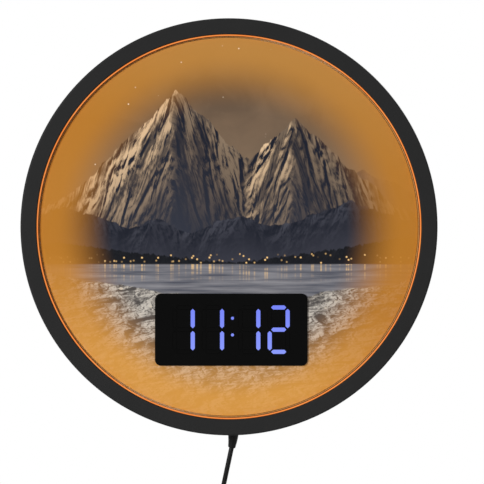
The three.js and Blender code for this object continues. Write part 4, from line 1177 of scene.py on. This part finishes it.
def coil_strap():
    """Strap round the turns of the coil, with its free end pressed on its outside at the front."""
    layers = math.ceil(COIL_TURNS / LAYER_TURNS)
    inner = COIL_INNER - CORD_RADIUS
    low = math.sqrt(inner**2 - (STRAP_WIDTH / 2) ** 2) - STRAP_GAP
    high = COIL_INNER + TURN_PITCH * LAYER_SPIRAL + CORD_RADIUS + STRAP_GAP
    deep = (layers - 1) * TURN_PITCH + 2 * CORD_RADIUS + 2 * STRAP_GAP
    outward = Vector((-math.sin(STRAP_ANGLE), math.cos(STRAP_ANGLE), 0))
    sideways = Vector((math.cos(STRAP_ANGLE), math.sin(STRAP_ANGLE), 0))
    forward = Vector((0, 0, 1))
    centre = coil_centre + outward * (low + high) / 2 + forward * (layers - 1) * TURN_PITCH / 2

    def on_strap(out, level, side):
        return at(*(centre + outward * out + forward * level + sideways * side))

    loop = rectangle(0, 0, deep + STRAP_THICKNESS, high - low + STRAP_THICKNESS, STRAP_BEND)
    section = rectangle(0, 0, STRAP_THICKNESS, STRAP_WIDTH, STRAP_EDGE)
    rings = []
    for i, (level, out) in enumerate(loop):
        way = (Vector(loop[(i + 1) % len(loop)]) - Vector(loop[i - 1])).normalized()
        rings.append([on_strap(out - way.x * thick, level + way.y * thick, side) for thick, side in section])
    band = loft("coil_strap", rings, closed=True)
    front = deep / 2 + STRAP_THICKNESS
    outline = rectangle(0, 0, STRAP_WIDTH - LAP_INSET, LAP_LENGTH, LAP_CORNER)
    rings = []
    for level, share in LAP_LAYERS:
        rings.append([on_strap(out * share, front + level, side * share) for side, out in outline])
    return carve(band, "UNION", loft("lapped_end", rings))


strap_piece = dress(coil_strap(), woven_strap(), ["coil_tie"])

# Flat plug at the end of the lead

RELIEF_TOP = 5.0
RELIEF_SWELL = 1.6
RELIEF_FOOT = RELIEF_TOP + RELIEF_SWELL
RELIEF_CORNER = RELIEF_FOOT / 2 - 0.01  # all but round
RELIEF_GROOVE = 0.7
RELIEF_STEPS = 12
SHOULDER_STEPS = 8
GRIP_WIDTH = 15.4
GRIP_DEPTH = 7.6
GRIP_CORNER = 2.2
GRIP_BOOT = 7.0
GRIP_SHOULDER = 3.0
GRIP_LENGTH = 18.0
GRIP_ROUND = 0.8
GRIP_INSETS = (0.8, 0.5, 0.25, 0.08, 0.0)
GRIP_END = GRIP_BOOT + GRIP_SHOULDER + GRIP_LENGTH
SHELL_WIDTH = 12.0
SHELL_DEPTH = 4.5
SHELL_WALL = 0.3
SHELL_LENGTH = 11.8
SHELL_SEAT = 0.5
SHELL_CORNER = 0.6
WINDOW_ASIDE = 2.85
WINDOW_DOWN = 6.3
WINDOW_SIZE = (2.0, 2.4, 0.15)
TONGUE_WIDTH = 11.0
TONGUE_DEPTH = 1.7
TONGUE_LENGTH = 10.5
TONGUE_GAP = 0.2
TONGUE_CORNER = 0.2
TONGUE_CHAMFER = (0.5, 0.35)  # along the tongue and off its size
CONTACT_COUNT = 4
CONTACT_PITCH = 2.3
CONTACT_WIDTH = 1.1
CONTACT_LENGTH = 7.2
CONTACT_SETBACK = 1.2
CONTACT_RISE = 0.15
CONTACT_SEAT = 0.1
CONTACT_CORNER = 0.3
CONTACT_EDGE = 0.06
plug_side = Vector((-coil_out.y, coil_out.x, 0))


def on_plug(across, down, forward):
    """A point on the plug: across its width, down from its boot and forward from its middle."""
    spot = plug_start + plug_side * across + coil_out * down
    return at(spot.x, spot.y, spot.z + forward)


def plug_section(down, width, depth, corner):
    return [on_plug(across, down, forward) for across, forward in rectangle(0, 0, width, depth, corner)]


def plug_grip():
    """Moulded grip: a ringed strain relief that swells into a flat body with rounded edges."""
    sections = []
    for i in range(RELIEF_STEPS + 1):
        down = GRIP_BOOT * i / RELIEF_STEPS
        groove = RELIEF_GROOVE if i % 4 == 2 else 0.0
        diameter = RELIEF_TOP + RELIEF_SWELL * i / RELIEF_STEPS - groove
        sections.append(plug_section(down, diameter, diameter, diameter / 2 - 0.01))
    for i in range(1, SHOULDER_STEPS + 1):
        share = i / SHOULDER_STEPS
        ease = share * share * (3 - 2 * share)
        width = RELIEF_FOOT + (GRIP_WIDTH - RELIEF_FOOT) * ease
        depth = RELIEF_FOOT + (GRIP_DEPTH - RELIEF_FOOT) * ease
        corner = RELIEF_CORNER + (GRIP_CORNER - RELIEF_CORNER) * ease
        sections.append(plug_section(GRIP_BOOT + GRIP_SHOULDER * share, width, depth, corner))
    for inset in GRIP_INSETS:
        shrink = GRIP_ROUND - math.sqrt(max(0.0, GRIP_ROUND**2 - (GRIP_ROUND - inset) ** 2))
        size = (GRIP_WIDTH - 2 * shrink, GRIP_DEPTH - 2 * shrink, GRIP_CORNER - shrink / 2)
        sections.append(plug_section(GRIP_END - inset, *size))
    return loft("plug_grip", sections)


def plug_shell():
    """Folded shell: an open tube with two latch windows in each broad side."""
    start = GRIP_END - SHELL_SEAT
    end = GRIP_END + SHELL_LENGTH
    outer = [plug_section(down, SHELL_WIDTH, SHELL_DEPTH, SHELL_CORNER) for down in (start, end)]
    inner_size = (SHELL_WIDTH - 2 * SHELL_WALL, SHELL_DEPTH - 2 * SHELL_WALL, SHELL_CORNER - SHELL_WALL)
    inner = [plug_section(down, *inner_size) for down in (end, start)]
    shell = loft("plug_shell", [*outer, *inner], closed=True)
    windows = []
    for across in (-WINDOW_ASIDE, WINDOW_ASIDE):
        corners = rectangle(across, GRIP_END + WINDOW_DOWN, *WINDOW_SIZE)
        levels = (-SHELL_DEPTH, SHELL_DEPTH)
        rings = [[on_plug(x, down, level) for x, down in corners] for level in levels]
        windows.append(loft("latch_window", rings))
    return carve(shell, "DIFFERENCE", *windows)


def plug_tongue():
    """Insulator in the shell, with its edge chamfered where a socket meets it."""
    offset = -(SHELL_DEPTH / 2 - SHELL_WALL - TONGUE_GAP - TONGUE_DEPTH / 2)
    start = GRIP_END - SHELL_SEAT
    end = GRIP_END + TONGUE_LENGTH
    slant, cut = TONGUE_CHAMFER
    rings = []
    for down, shrink in ((start, 0.0), (end - slant, 0.0), (end, cut)):
        corners = rectangle(0, offset, TONGUE_WIDTH - shrink, TONGUE_DEPTH - shrink, TONGUE_CORNER)
        rings.append([on_plug(across, down, forward) for across, forward in corners])
    return loft("plug_tongue", rings)


def row_of_contacts():
    """Tree that sets copies of a contact side by side."""
    sizes = {"Count": "NodeSocketInt", "Step": "NodeSocketVector"}
    tree, given = begin_repeats("contacts in a row", sizes)
    row = add(tree, "GeometryNodeMeshLine", {"Count": given["Count"], "Offset": given["Step"]})
    return end_repeats(tree, given, row)


def plug_contacts():
    """Sprung contacts on the open side of the tongue, each a strip with rounded ends and edges."""
    face = TONGUE_DEPTH - (SHELL_DEPTH / 2 - SHELL_WALL - TONGUE_GAP)
    first = -CONTACT_PITCH * (CONTACT_COUNT - 1) / 2
    down = GRIP_END + TONGUE_LENGTH - CONTACT_SETBACK - CONTACT_LENGTH / 2
    strip = rectangle(first, down, CONTACT_WIDTH, CONTACT_LENGTH, CONTACT_CORNER)
    levels = (face - CONTACT_SEAT, face + CONTACT_RISE)
    rings = [[on_plug(*spot, level) for spot in strip] for level in levels]
    contact = soften(loft("contact", rings), CONTACT_EDGE, 2)
    step = on_plug(CONTACT_PITCH, 0, 0) - on_plug(0, 0, 0)
    values = {"Piece": contact, "Finish": gold, "Count": CONTACT_COUNT, "Step": step}
    return repeated("plug_contacts", row_of_contacts(), values)


grip_piece = dress(plug_grip(), boot_black, ["usb_plug_grip"])
shell_piece = dress(plug_shell(), nickel, ["usb_plug_shell"])
tongue_piece = dress(plug_tongue(), ivory, ["usb_plug_tongue"])
contact_piece = dress(plug_contacts(), gold, [])

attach(cord, "clock")
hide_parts("power_lead", "lead_coil", "lead_tail")

# Case

screw_turns = turns_of(SCREW_COUNT)
screw_spots = [(SCREW_CIRCLE * math.cos(t), SCREW_CIRCLE * math.sin(t)) for t in screw_turns]
wall_inner = CASE_RADIUS - FRAME_WALL
flange_back = case.front - FLANGE


def front_frame():
    profile = filleted(
        [
            (CASE_RADIUS, case.back, REAR_ROUND),
            (CASE_RADIUS, case.front, EDGE_ROUND),
            (CASE_RADIUS - FACE_WIDTH, case.front, LIP_ROUND),
            (CASE_RADIUS - FACE_WIDTH, flange_back, 0.0),
            (wall_inner, flange_back, 0.0),
            (wall_inner, case.back, REAR_ROUND),
        ]
    )
    ring = lathe("frame_ring", profile, CASE_SIDES, closed=True)
    levels = (BOSS_FRONT + FIT_GAP, flange_back + FLANGE / 2)
    columns = [prism("column", circle(*spot, COLUMN_RADIUS, SMALL_SIDES), *levels) for spot in screw_spots]
    web_end = wall_inner + FRAME_WALL / 2
    webs = [prism("web", spoke(t, SCREW_CIRCLE, web_end, COLUMN_WEB), *levels) for t in screw_turns]
    carve(ring, "UNION", *columns, *webs)
    pilots = [prism("pilot", circle(x, up, PILOT_RADIUS, PEG_SIDES), 0, PILOT_END) for x, up in screw_spots]
    below = at(PLUG_X, -CASE_RADIUS - CUT_PAST, PLUG_LEVEL)
    inside = at(PLUG_X, CUT_PAST - wall_inner, PLUG_LEVEL)
    plug_way = rod("plug_way", below, inside, PLUG_HOLE, SMALL_SIDES)
    return carve(ring, "DIFFERENCE", plug_way, *pilots)


dress(front_frame(), charcoal, ["front_frame"])


def light_ring():
    profile = filleted(
        [
            (LINE_INNER, light.back, 0.0),
            (light.top - RING_INSET, light.back, 0.0),
            (light.top - RING_INSET, light.back + RING_FOOT, RING_ROUND),
            (LINE_OUTER, light.back + RING_FOOT, 0.0),
            (LINE_OUTER, light.front, LINE_ROUND),
            (LINE_INNER, light.front, LINE_ROUND),
        ]
    )
    return lathe("light_line", profile, CASE_SIDES, closed=True)


def panel_gasket():
    profile = filleted(
        [
            (GASKET_INNER, gasket.back, 0.0),
            (gasket.top, gasket.back, 0.0),
            (gasket.top, gasket.front, GASKET_ROUND),
            (GASKET_INNER, gasket.front, GASKET_ROUND),
        ]
    )
    return lathe("foam_gasket", profile, CASE_SIDES, closed=True)


display_x, display_up = middle(block)
display_width, display_height = size_of(block)
block_width = display_width - 2 * LIP_OVERLAP
block_height = display_height - 2 * LIP_OVERLAP
block_corner = DISPLAY_CORNER - LIP_OVERLAP


def picture_panel():
    profile = turned([(panel.top, panel.back, 0.0), (panel.top, panel.front, PANEL_ROUND)])
    disc = lathe("printed_panel", profile, CASE_SIDES)
    hole = rectangle(
        display_x, display_up, block_width + 2 * FIT_GAP, block_height + 2 * FIT_GAP, block_corner + FIT_GAP
    )
    opening = prism("display_hole", hole, panel.back - CUT_PAST, panel.front + CUT_PAST)
    return carve(disc, "DIFFERENCE", opening)


dress(light_ring(), amber, ["light_ring"])
dress(panel_gasket(), foam, ["panel_gasket"])
dress(picture_panel(), printed, ["picture_panel"])

# Display

DIGITS = ("hour_tens_segments", "hour_units_segments", "minute_tens_segments", "minute_units_segments")
SHOWN = ("bc", "bc", "bc", "abged")  # lit bars, in the usual letters
DIGIT_LETTERS = "abcdefg"


def bar_outline(x, up, length, width, upright):
    """A light bar: a strip with pointed ends, slightly blunted."""
    reach = length / 2
    half = width / 2
    corners = [
        (reach, 0, BAR_TIP),
        (reach - half, half, BAR_CORNER),
        (half - reach, half, BAR_CORNER),
        (-reach, 0, BAR_TIP),
        (half - reach, -half, BAR_CORNER),
        (reach - half, -half, BAR_CORNER),
    ]
    if upright:
        return [(x - v, up + u) for u, v in filleted(corners)]
    return [(x + u, up + v) for u, v in filleted(corners)]


def digit_bars(name):
    """Place, length and stand of the seven bars of a digit, in the order a to g."""
    reach = extent(name)
    x, up = middle(reach)
    width, height = size_of(reach)
    across = (width - DIGIT_BAR) / 2
    rise = (height - DIGIT_BAR) / 2
    flat = 2 * (across - TIP_GAP)
    tall = rise - 2 * TIP_GAP
    return [
        (x, up + rise, flat, False),
        (x + across, up + rise / 2, tall, True),
        (x + across, up - rise / 2, tall, True),
        (x, up - rise, flat, False),
        (x - across, up - rise / 2, tall, True),
        (x - across, up + rise / 2, tall, True),
        (x, up, flat, False),
    ]


def digit_insert(name, shown):
    """The bars of a digit on their web, with the lit bars in a finish of their own."""
    reach = extent(name)
    width, height = size_of(reach)
    sheet = rectangle(*middle(reach), width - WEB_MARGIN, height - WEB_MARGIN, WEB_CORNER)
    web = prism(name.replace("segments", "bars"), sheet, WEB_BACK, WEB_FRONT)
    bars = digit_bars(name)
    outlines = [bar_outline(bx, bup, length, DIGIT_BAR, upright) for bx, bup, length, upright in bars]
    shapes = [soften(prism("bar", outline, BAR_FOOT, reach.front), BAR_EDGE, 2) for outline in outlines]
    carve(web, "UNION", *shapes)
    web.data.materials.append(dark_segment)
    web.data.materials.append(lit_segment)
    for face in web.data.polygons:
        spot = face.center / MM
        if -spot.y < WEB_FRONT + LIT_FROM:
            continue
        for letter, (bx, bup, length, upright) in zip(DIGIT_LETTERS, bars):
            along, aside = (spot.z - bup, spot.x - bx) if upright else (spot.x - bx, spot.z - bup)
            if letter in shown and abs(along) < length / 2 and abs(aside) < DIGIT_BAR / 2 + LIT_MARGIN:
                face.material_index = 1
    return web


dot_x = display_x + DOT_SHIFT
dot_spots = [(dot_x, display_up + rise) for rise in DOT_RISES]


def colon_dots():
    sheet = rectangle(*middle(colon), *size_of(colon), WEB_CORNER)
    web = prism("colon_lights", sheet, WEB_BACK, WEB_FRONT)
    outlines = [circle(*spot, DOT_RADIUS, PEG_SIDES) for spot in dot_spots]
    pegs = [soften(prism("dot", outline, BAR_FOOT, colon.front), BAR_EDGE, 2) for outline in outlines]
    return carve(web, "UNION", *pegs)


def display_block():
    """Block with a softly rounded lip, a well for each bar and dot, and pockets for their webs behind."""
    face = rectangle(display_x, display_up, display_width, display_height, DISPLAY_CORNER)
    lip = soften(prism("display_face", face, LIP_BACK, block.front), DISPLAY_EDGE, 4)
    waist = rectangle(display_x, display_up, block_width, block_height, block_corner)
    carve(lip, "UNION", prism("display_body", waist, block.back, block.front - BODY_SETBACK))
    growth = 2 * WELL_GAP
    cuts = []
    well = (WEB_FRONT, block.front + CUT_PAST)

    def pocket(reach):
        size = [side + growth for side in size_of(reach)]
        outline = rectangle(*middle(reach), *size)
        return prism("pocket", outline, block.back - CUT_PAST, WEB_FRONT + FIT_GAP)

    for name in DIGITS:
        cuts.append(pocket(extent(name)))
        for x, up, length, upright in digit_bars(name):
            outline = bar_outline(x, up, length + growth * math.sqrt(2), DIGIT_BAR + growth, upright)
            cuts.append(prism("well", outline, *well))
    cuts.append(pocket(colon))
    for spot in dot_spots:
        cuts.append(prism("well", circle(*spot, DOT_RADIUS + WELL_GAP, PEG_SIDES), *well))
    return carve(lip, "DIFFERENCE", *cuts)


dress(display_block(), display_black, ["display_block"])
for digit, shown in zip(DIGITS, SHOWN):
    dress(digit_insert(digit, shown), None, [digit])
dress(colon_dots(), lit_segment, ["colon_dots"])

# Rear cover with its keyhole, and the hatch and buttons in it

BUTTONS = ("light", "set", "plus", "minus")
hatch_x, hatch_up = middle(hatch)
hatch_radius = (hatch.top - hatch.bottom) / 2


def flared(radius, deep):
    """How wide a hole in the cover is at each level: its edge is broken by a small chamfer."""
    return [(radius + HOLE_CHAMFER + CUT_PAST, -CUT_PAST), (radius, HOLE_CHAMFER), (radius, deep)]


def round_hole(x, up, radius, deep, sides=SMALL_SIDES):
    return lathe("hole", flared(radius, deep), sides, x, up)


def keyhole_cut():
    """Round entry for the head of the wall screw, and above it a slot that ends in a half circle."""
    rings = []
    for half, level in flared(KEYHOLE_SLOT, COVER_SKIN + KEYHOLE_ROOM / 2):
        head = KEYHOLE_HEAD + half - KEYHOLE_SLOT
        gap = math.asin(half / head)
        outline = []
        for i in range(SMALL_SIDES + 1):
            turn = math.pi / 2 + gap + 2 * (math.pi - gap) * i / SMALL_SIDES
            outline.append((head * math.cos(turn), KEYHOLE_ENTRY + head * math.sin(turn)))
        for i in range(SMALL_SIDES + 1):
            turn = math.pi * i / SMALL_SIDES
            outline.append((half * math.cos(turn), KEYHOLE_REST + half * math.sin(turn)))
        rings.append([at(*spot, level) for spot in outline])
    return loft("keyhole", rings)


def keyhole_pocket():
    """Box behind the keyhole that keeps the head of the wall screw off the parts inside."""
    low = KEYHOLE_ENTRY - KEYHOLE_HEAD
    high = KEYHOLE_REST + KEYHOLE_HEAD
    mid = (low + high) / 2
    front = COVER_SKIN + KEYHOLE_ROOM
    outside = (2 * (KEYHOLE_HEAD + POCKET_WALL), high - low + 2 * POCKET_WALL)
    walls = prism("walls", rectangle(0, mid, *outside), COVER_SKIN / 2, front + POCKET_WALL)
    room = prism("room", rectangle(0, mid, 2 * KEYHOLE_HEAD, high - low), COVER_SKIN, front)
    return carve(walls, "DIFFERENCE", room)


def rear_cover():
    bevel = [(COVER_RADIUS - COVER_BEVEL, 0.0, BEVEL_ROUND), (COVER_RADIUS, COVER_BEVEL, BEVEL_ROUND)]
    skin = lathe("back_cover", turned([*bevel, (COVER_RADIUS, COVER_SKIN, 0.0)]), CASE_SIDES)
    sunk = COVER_SKIN / 2
    ring_inner, ring_outer = SUPPORT_RING
    ring = hoop("support", ring_inner, ring_outer, sunk, SUPPORT_FRONT, CASE_SIDES)
    way = (BOSS_FRONT - FIT_GAP, case.front)
    way_outlines = [circle(*spot, COLUMN_RADIUS + COLUMN_GAP, PEG_SIDES) for spot in screw_spots]
    ways = [prism("way", outline, *way) for outline in way_outlines]
    jack_way = rectangle(PLUG_X, -ring_outer, jack.right - jack.left + 2 * FIT_GAP, JACK_WAY)
    socket_way = prism("socket_way", jack_way, COVER_SKIN, SUPPORT_FRONT + CUT_PAST)
    carve(ring, "DIFFERENCE", *ways, socket_way)
    rib_front = COVER_SKIN + RIB_HEIGHT
    hub = hoop("hub", HUB_RADIUS - RIB_WIDTH, HUB_RADIUS, sunk, rib_front, SMALL_SIDES)
    rib_reach = (HUB_RADIUS - RIB_WIDTH / 2, ring_inner + RIB_SINK, RIB_WIDTH)
    rib_outlines = [spoke(math.radians(angle), *rib_reach) for angle in RIB_ANGLES]
    ribs = [prism("rib", outline, sunk, rib_front) for outline in rib_outlines]
    boss_outlines = [circle(*spot, BOSS_RADIUS, SMALL_SIDES) for spot in screw_spots]
    bosses = [prism("boss", outline, sunk, BOSS_FRONT) for outline in boss_outlines]
    carve(skin, "UNION", ring, hub, *ribs, *bosses)
    through_boss = BOSS_FRONT + CUT_PAST
    through_skin = COVER_SKIN + CUT_PAST
    cuts = [round_hole(x, up, HEAD_RECESS, HEAD_SEAT) for x, up in screw_spots]
    pilots = [circle(*spot, PILOT_RADIUS, PEG_SIDES) for spot in screw_spots]
    cuts += [prism("hole", outline, 0, through_boss) for outline in pilots]
    for name in BUTTONS:
        x, up = middle(extent(f"{name}_button"))
        cuts.append(round_hole(x, up, BUTTON_RADIUS + FIT_GAP, through_skin))
    cuts.append(round_hole(hatch_x, hatch_up, hatch_radius + FIT_GAP, HATCH_SEAT, 2 * SMALL_SIDES))
    neck = circle(hatch_x, hatch_up, HATCH_NECK + FIT_GAP, 2 * SMALL_SIDES)
    cuts.append(prism("neck", neck, 0, through_skin))
    notch = (HATCH_NECK - LUG_REACH, HATCH_NECK + LUG_REACH + FIT_GAP)
    for centre in (-HATCH_TURN, 180 - HATCH_TURN):
        outline = sector(hatch_x, hatch_up, *notch, centre, LUG_SPAN + NOTCH_SPARE)
        cuts.append(prism("notch", outline, HATCH_SEAT - NOTCH_SINK, through_skin))
    carve(skin, "DIFFERENCE", *cuts)
    carve(skin, "UNION", keyhole_pocket())
    return carve(skin, "DIFFERENCE", keyhole_cut())


dress(rear_cover(), rear_black, ["rear_cover"])


def battery_hatch():
    """Bayonet hatch: a rounded flange over a neck with two lugs, and a slot for a coin."""
    back = hatch.back
    profile = turned(
        [
            (hatch_radius, back, HATCH_ROUND),
            (hatch_radius, back + HATCH_FLANGE, 0.0),
            (HATCH_NECK, back + HATCH_FLANGE, 0.0),
            (HATCH_NECK, hatch.front, NECK_ROUND),
        ]
    )
    disc = lathe("coin_hatch", profile, 2 * SMALL_SIDES, hatch_x, hatch_up)
    reach = (HATCH_NECK - LUG_REACH, HATCH_NECK + LUG_REACH)
    lug_outlines = [sector(hatch_x, hatch_up, *reach, centre, LUG_SPAN) for centre in (0, 180)]
    lug_back = COVER_SKIN + FIT_GAP
    lugs = [prism("lug", outline, lug_back, lug_back + LUG_THICKNESS) for outline in lug_outlines]
    carve(disc, "UNION", *lugs)
    start = back - CUT_PAST
    groove = rectangle(hatch_x, hatch_up, *COIN_SLOT)
    slot = soften(prism("coin_slot", groove, start, back + COIN_DEPTH), COIN_EDGE, 2)
    pointer = [(hatch_x + u, hatch_up + v) for u, v in ARROW]
    arrow = prism("arrow", pointer, start, back + ARROW_DEPTH)
    return carve(disc, "DIFFERENCE", slot, arrow)


dress(battery_hatch(), rear_black, ["battery_hatch"], body="hatch")


def button_mark(name, x, up, back):
    """A raised sign on a button: a ring for the light, a dot to set, plus and minus."""
    levels = (back - MARK_HEIGHT, back + MARK_SEAT)
    if name == "light":
        return hoop("mark", *MARK_RING, *levels, MARK_SIDES, x, up)
    if name == "set":
        return prism("mark", circle(x, up, MARK_DOT, MARK_SIDES), *levels)
    if name == "minus":
        return prism("mark", rectangle(x, up, MARK_LENGTH, MARK_BAR, MARK_CORNER), *levels)
    half = MARK_BAR / 2
    end = MARK_LENGTH / 2
    arm = [(half, half, MARK_CREASE), (half, end, MARK_CORNER), (-half, end, MARK_CORNER)]
    corners = []
    for _ in range(4):
        corners += arm
        arm = [(-v, u, radius) for u, v, radius in arm]
    return prism("mark", [(x + u, up + v) for u, v in filleted(corners)], *levels)


def push_button(name):
    reach = extent(f"{name}_button")
    x, up = middle(reach)
    profile = turned(
        [
            (BUTTON_RADIUS, reach.back, BUTTON_ROUND),
            (BUTTON_RADIUS, BUTTON_SEAT, 0.0),
            (BUTTON_FLANGE, BUTTON_SEAT, FLANGE_ROUND),
            (BUTTON_FLANGE, reach.front, FLANGE_ROUND),
        ]
    )
    cap = lathe(f"{name}_cap", profile, SMALL_SIDES, x, up)
    carve(cap, "UNION", button_mark(name, x, up, reach.back))
    cap.data.materials.append(rear_black)
    cap.data.materials.append(sign_white)
    for face in cap.data.polygons:
        if -face.center.y / MM < reach.back - MARK_HEIGHT / 2:
            face.material_index = 1
    return cap


for name in BUTTONS:
    dress(push_button(name), None, [f"{name}_button"], body=f"{name}_key")

# Cover screws, set round a circle by Geometry Nodes

CROSS_WIDTH = 0.8
CROSS_LENGTH = 2.9
CROSS_DEPTH = 1.0
HEAD_HEIGHT = 1.7
HEAD_DOME = ((0.45, 0.05), (0.75, 0.3), (0.93, 0.7), (1.0, 1.1))  # share of the radius, and level
HEAD_FLAT = 0.2
SHANK = 1.3
THREAD_DEPTH = 0.25
THREAD_PITCH = 0.9
THREAD_START = 0.3
THREAD_END = 1.2
TIP_LENGTH = 0.8
TIP_FLAT = 0.3


def pan_head_screw():
    """One screw on the clock's axis: a domed head with a cross recess, and a threaded shank."""
    head = (screw.top - screw.bottom) / 2
    back = screw.back
    seat = back + HEAD_HEIGHT
    root = SHANK - THREAD_DEPTH
    dome = [(head * share, back + rise) for share, rise in HEAD_DOME]
    profile = [(HEAD_FLAT, back), *dome, (head, seat), (SHANK, seat)]
    level = seat + THREAD_START
    while level < screw.front - THREAD_END:
        profile += [(root, level), (SHANK, level + THREAD_PITCH / 2)]
        level += THREAD_PITCH
    profile += [(root, screw.front - TIP_LENGTH), (TIP_FLAT, screw.front)]
    made = lathe("pan_head_screw", profile, SCREW_SIDES)
    recess = (back - CUT_PAST, back + CROSS_DEPTH)
    bars = ((CROSS_LENGTH, CROSS_WIDTH), (CROSS_WIDTH, CROSS_LENGTH))
    cross = [prism("recess", rectangle(0, 0, *bar), *recess) for bar in bars]
    return carve(made, "DIFFERENCE", *cross)


def circle_of_screws():
    """Tree that sets copies of a screw round a circle, each turned at random."""
    sizes = {"Count": "NodeSocketInt", "Circle radius": "NodeSocketFloat"}
    tree, given = begin_repeats("screws round a circle", sizes)
    round_it = {"Vertices": given["Count"], "Radius": given["Circle radius"]}
    ring = add(tree, "GeometryNodeMeshCircle", round_it)
    upright = add(tree, "GeometryNodeTransform", {"Geometry": ring, "Rotation": (math.pi / 2, 0, 0)})
    any_way = {"Min": 0.0, "Max": 2 * math.pi, "Seed": 5}
    turn = add(tree, "FunctionNodeRandomValue", any_way, data_type="FLOAT")
    spin = add(tree, SPOT, {"Y": turn})
    return end_repeats(tree, given, upright, spin)


def cover_screws():
    sizes = {"Count": SCREW_COUNT, "Circle radius": SCREW_CIRCLE * MM}
    values = {"Piece": pan_head_screw(), "Finish": screw_steel, **sizes}
    return repeated("cover_screws", circle_of_screws(), values)


dress(cover_screws(), screw_steel, [f"cover_screw_{i + 1}" for i in range(SCREW_COUNT)])

# Pieces inside the case keep their CAD shape and get their own finish

inner_finishes = {
    "diffuser_sheet": opal,
    "reflector_tray": white_abs,
    "led_strip": tape,
    "strip_lead": sheath,
    "supply_wire_red": red_sheath,
    "supply_wire_black": sheath,
    "main_board": green_board,
    "microcontroller": epoxy,
    "quartz_crystal": nickel,
    "cell_holder": housing_black,
    "backup_cell": nickel,
    "dc_jack": housing_black,
    "dc_plug_barrel": nickel,
}
for i in range(4):
    inner_finishes[f"board_screw_{i + 1}"] = nickel
for name in BUTTONS:
    inner_finishes[f"{name}_switch"] = housing_black
    inner_finishes[f"{name}_plunger"] = ivory
for name, finish in inner_finishes.items():
    nodes[name].data.materials.clear()
    nodes[name].data.materials.append(finish)

# Studio: a pale floor under the lead, one soft lamp at the left, and one that rakes over the back

FLOOR_DROP = 12.0
FLOOR_RADIUS = 420.0
FLOOR_PALE = 0.6
FADE_START = 360.0
FADE_END = 500.0
PAPER_FIBRE = 3.0
FILL = 0.22
WHITE = (1.0, 1.0, 1.0, 1.0)


def seen_white(tree):
    """One for rays that show the background: those of the camera and of reflections, and through glass."""
    path = add(tree, "ShaderNodeLightPath").outputs
    seen = add(tree, LARGER, [path["Is Camera Ray"], path["Is Glossy Ray"]])
    return add(tree, LARGER, [seen, path["Is Transmission Ray"]])


def studio_floor():
    """Matt white paper that keeps the shadows and pales into the background at its rim."""
    level = cad_box[0][2] / MM - FLOOR_DROP
    rim = [Vector((x * MM, up * MM, level * MM)) for x, up in circle(0, 0, FLOOR_RADIUS, FLOOR_SIDES)]
    bm = bmesh.new()
    bm.faces.new([bm.verts.new(spot) for spot in rim])
    floor = link("floor", bm)
    made, tree, point = begin("white paper, matt")
    fibre = add(tree, NOISE, {"Vector": point, "Scale": 1 / (PAPER_FIBRE * MM)})
    shade = add(tree, BLEND, [fibre, "#E6E6E6", "#ECECEC"])
    away = add(tree, VECTOR, [point], operation="LENGTH")
    reach = {"From Min": FADE_START * MM, "From Max": FADE_END * MM, "To Max": FLOOR_PALE}
    fade = add(tree, RANGE, {"Value": away, **reach}, interpolation_type="SMOOTHSTEP")
    glow = add(tree, TIMES, [fade, seen_white(tree)])
    looks = {"Base Color": shade, "Roughness": 0.9, "Specular IOR Level": 0.0}
    surface(made, {**looks, "Emission Color": WHITE, "Emission Strength": glow})
    floor.data.materials.append(made)


def studio_world():
    """White to the camera and in reflections, and a plain grey fill to everything else."""
    world = bpy.data.worlds.new("studio")
    scene.world = world
    world.use_nodes = True
    tree = world.node_tree
    fill = (FILL, FILL, FILL, 1.0)
    colour = add(tree, BLEND, [seen_white(tree), fill, WHITE])
    tree.links.new(colour.outputs[2], tree.nodes["Background"].inputs["Color"])


def soft_lamp(name, spot, size, power):
    data = bpy.data.lights.new(name, "AREA")
    data.size = size
    data.energy = power
    lamp = bpy.data.objects.new(name, data)
    lamp.location = spot
    lamp.rotation_euler = Vector(spot).to_track_quat("Z", "Y").to_euler()
    scene.collection.objects.link(lamp)


studio_floor()
studio_world()
soft_lamp("key", spot=(-2.78, -3.3, 1.12), size=1.35, power=186.0)
soft_lamp("back", spot=(2.0, 1.4, 1.6), size=1.0, power=84.0)
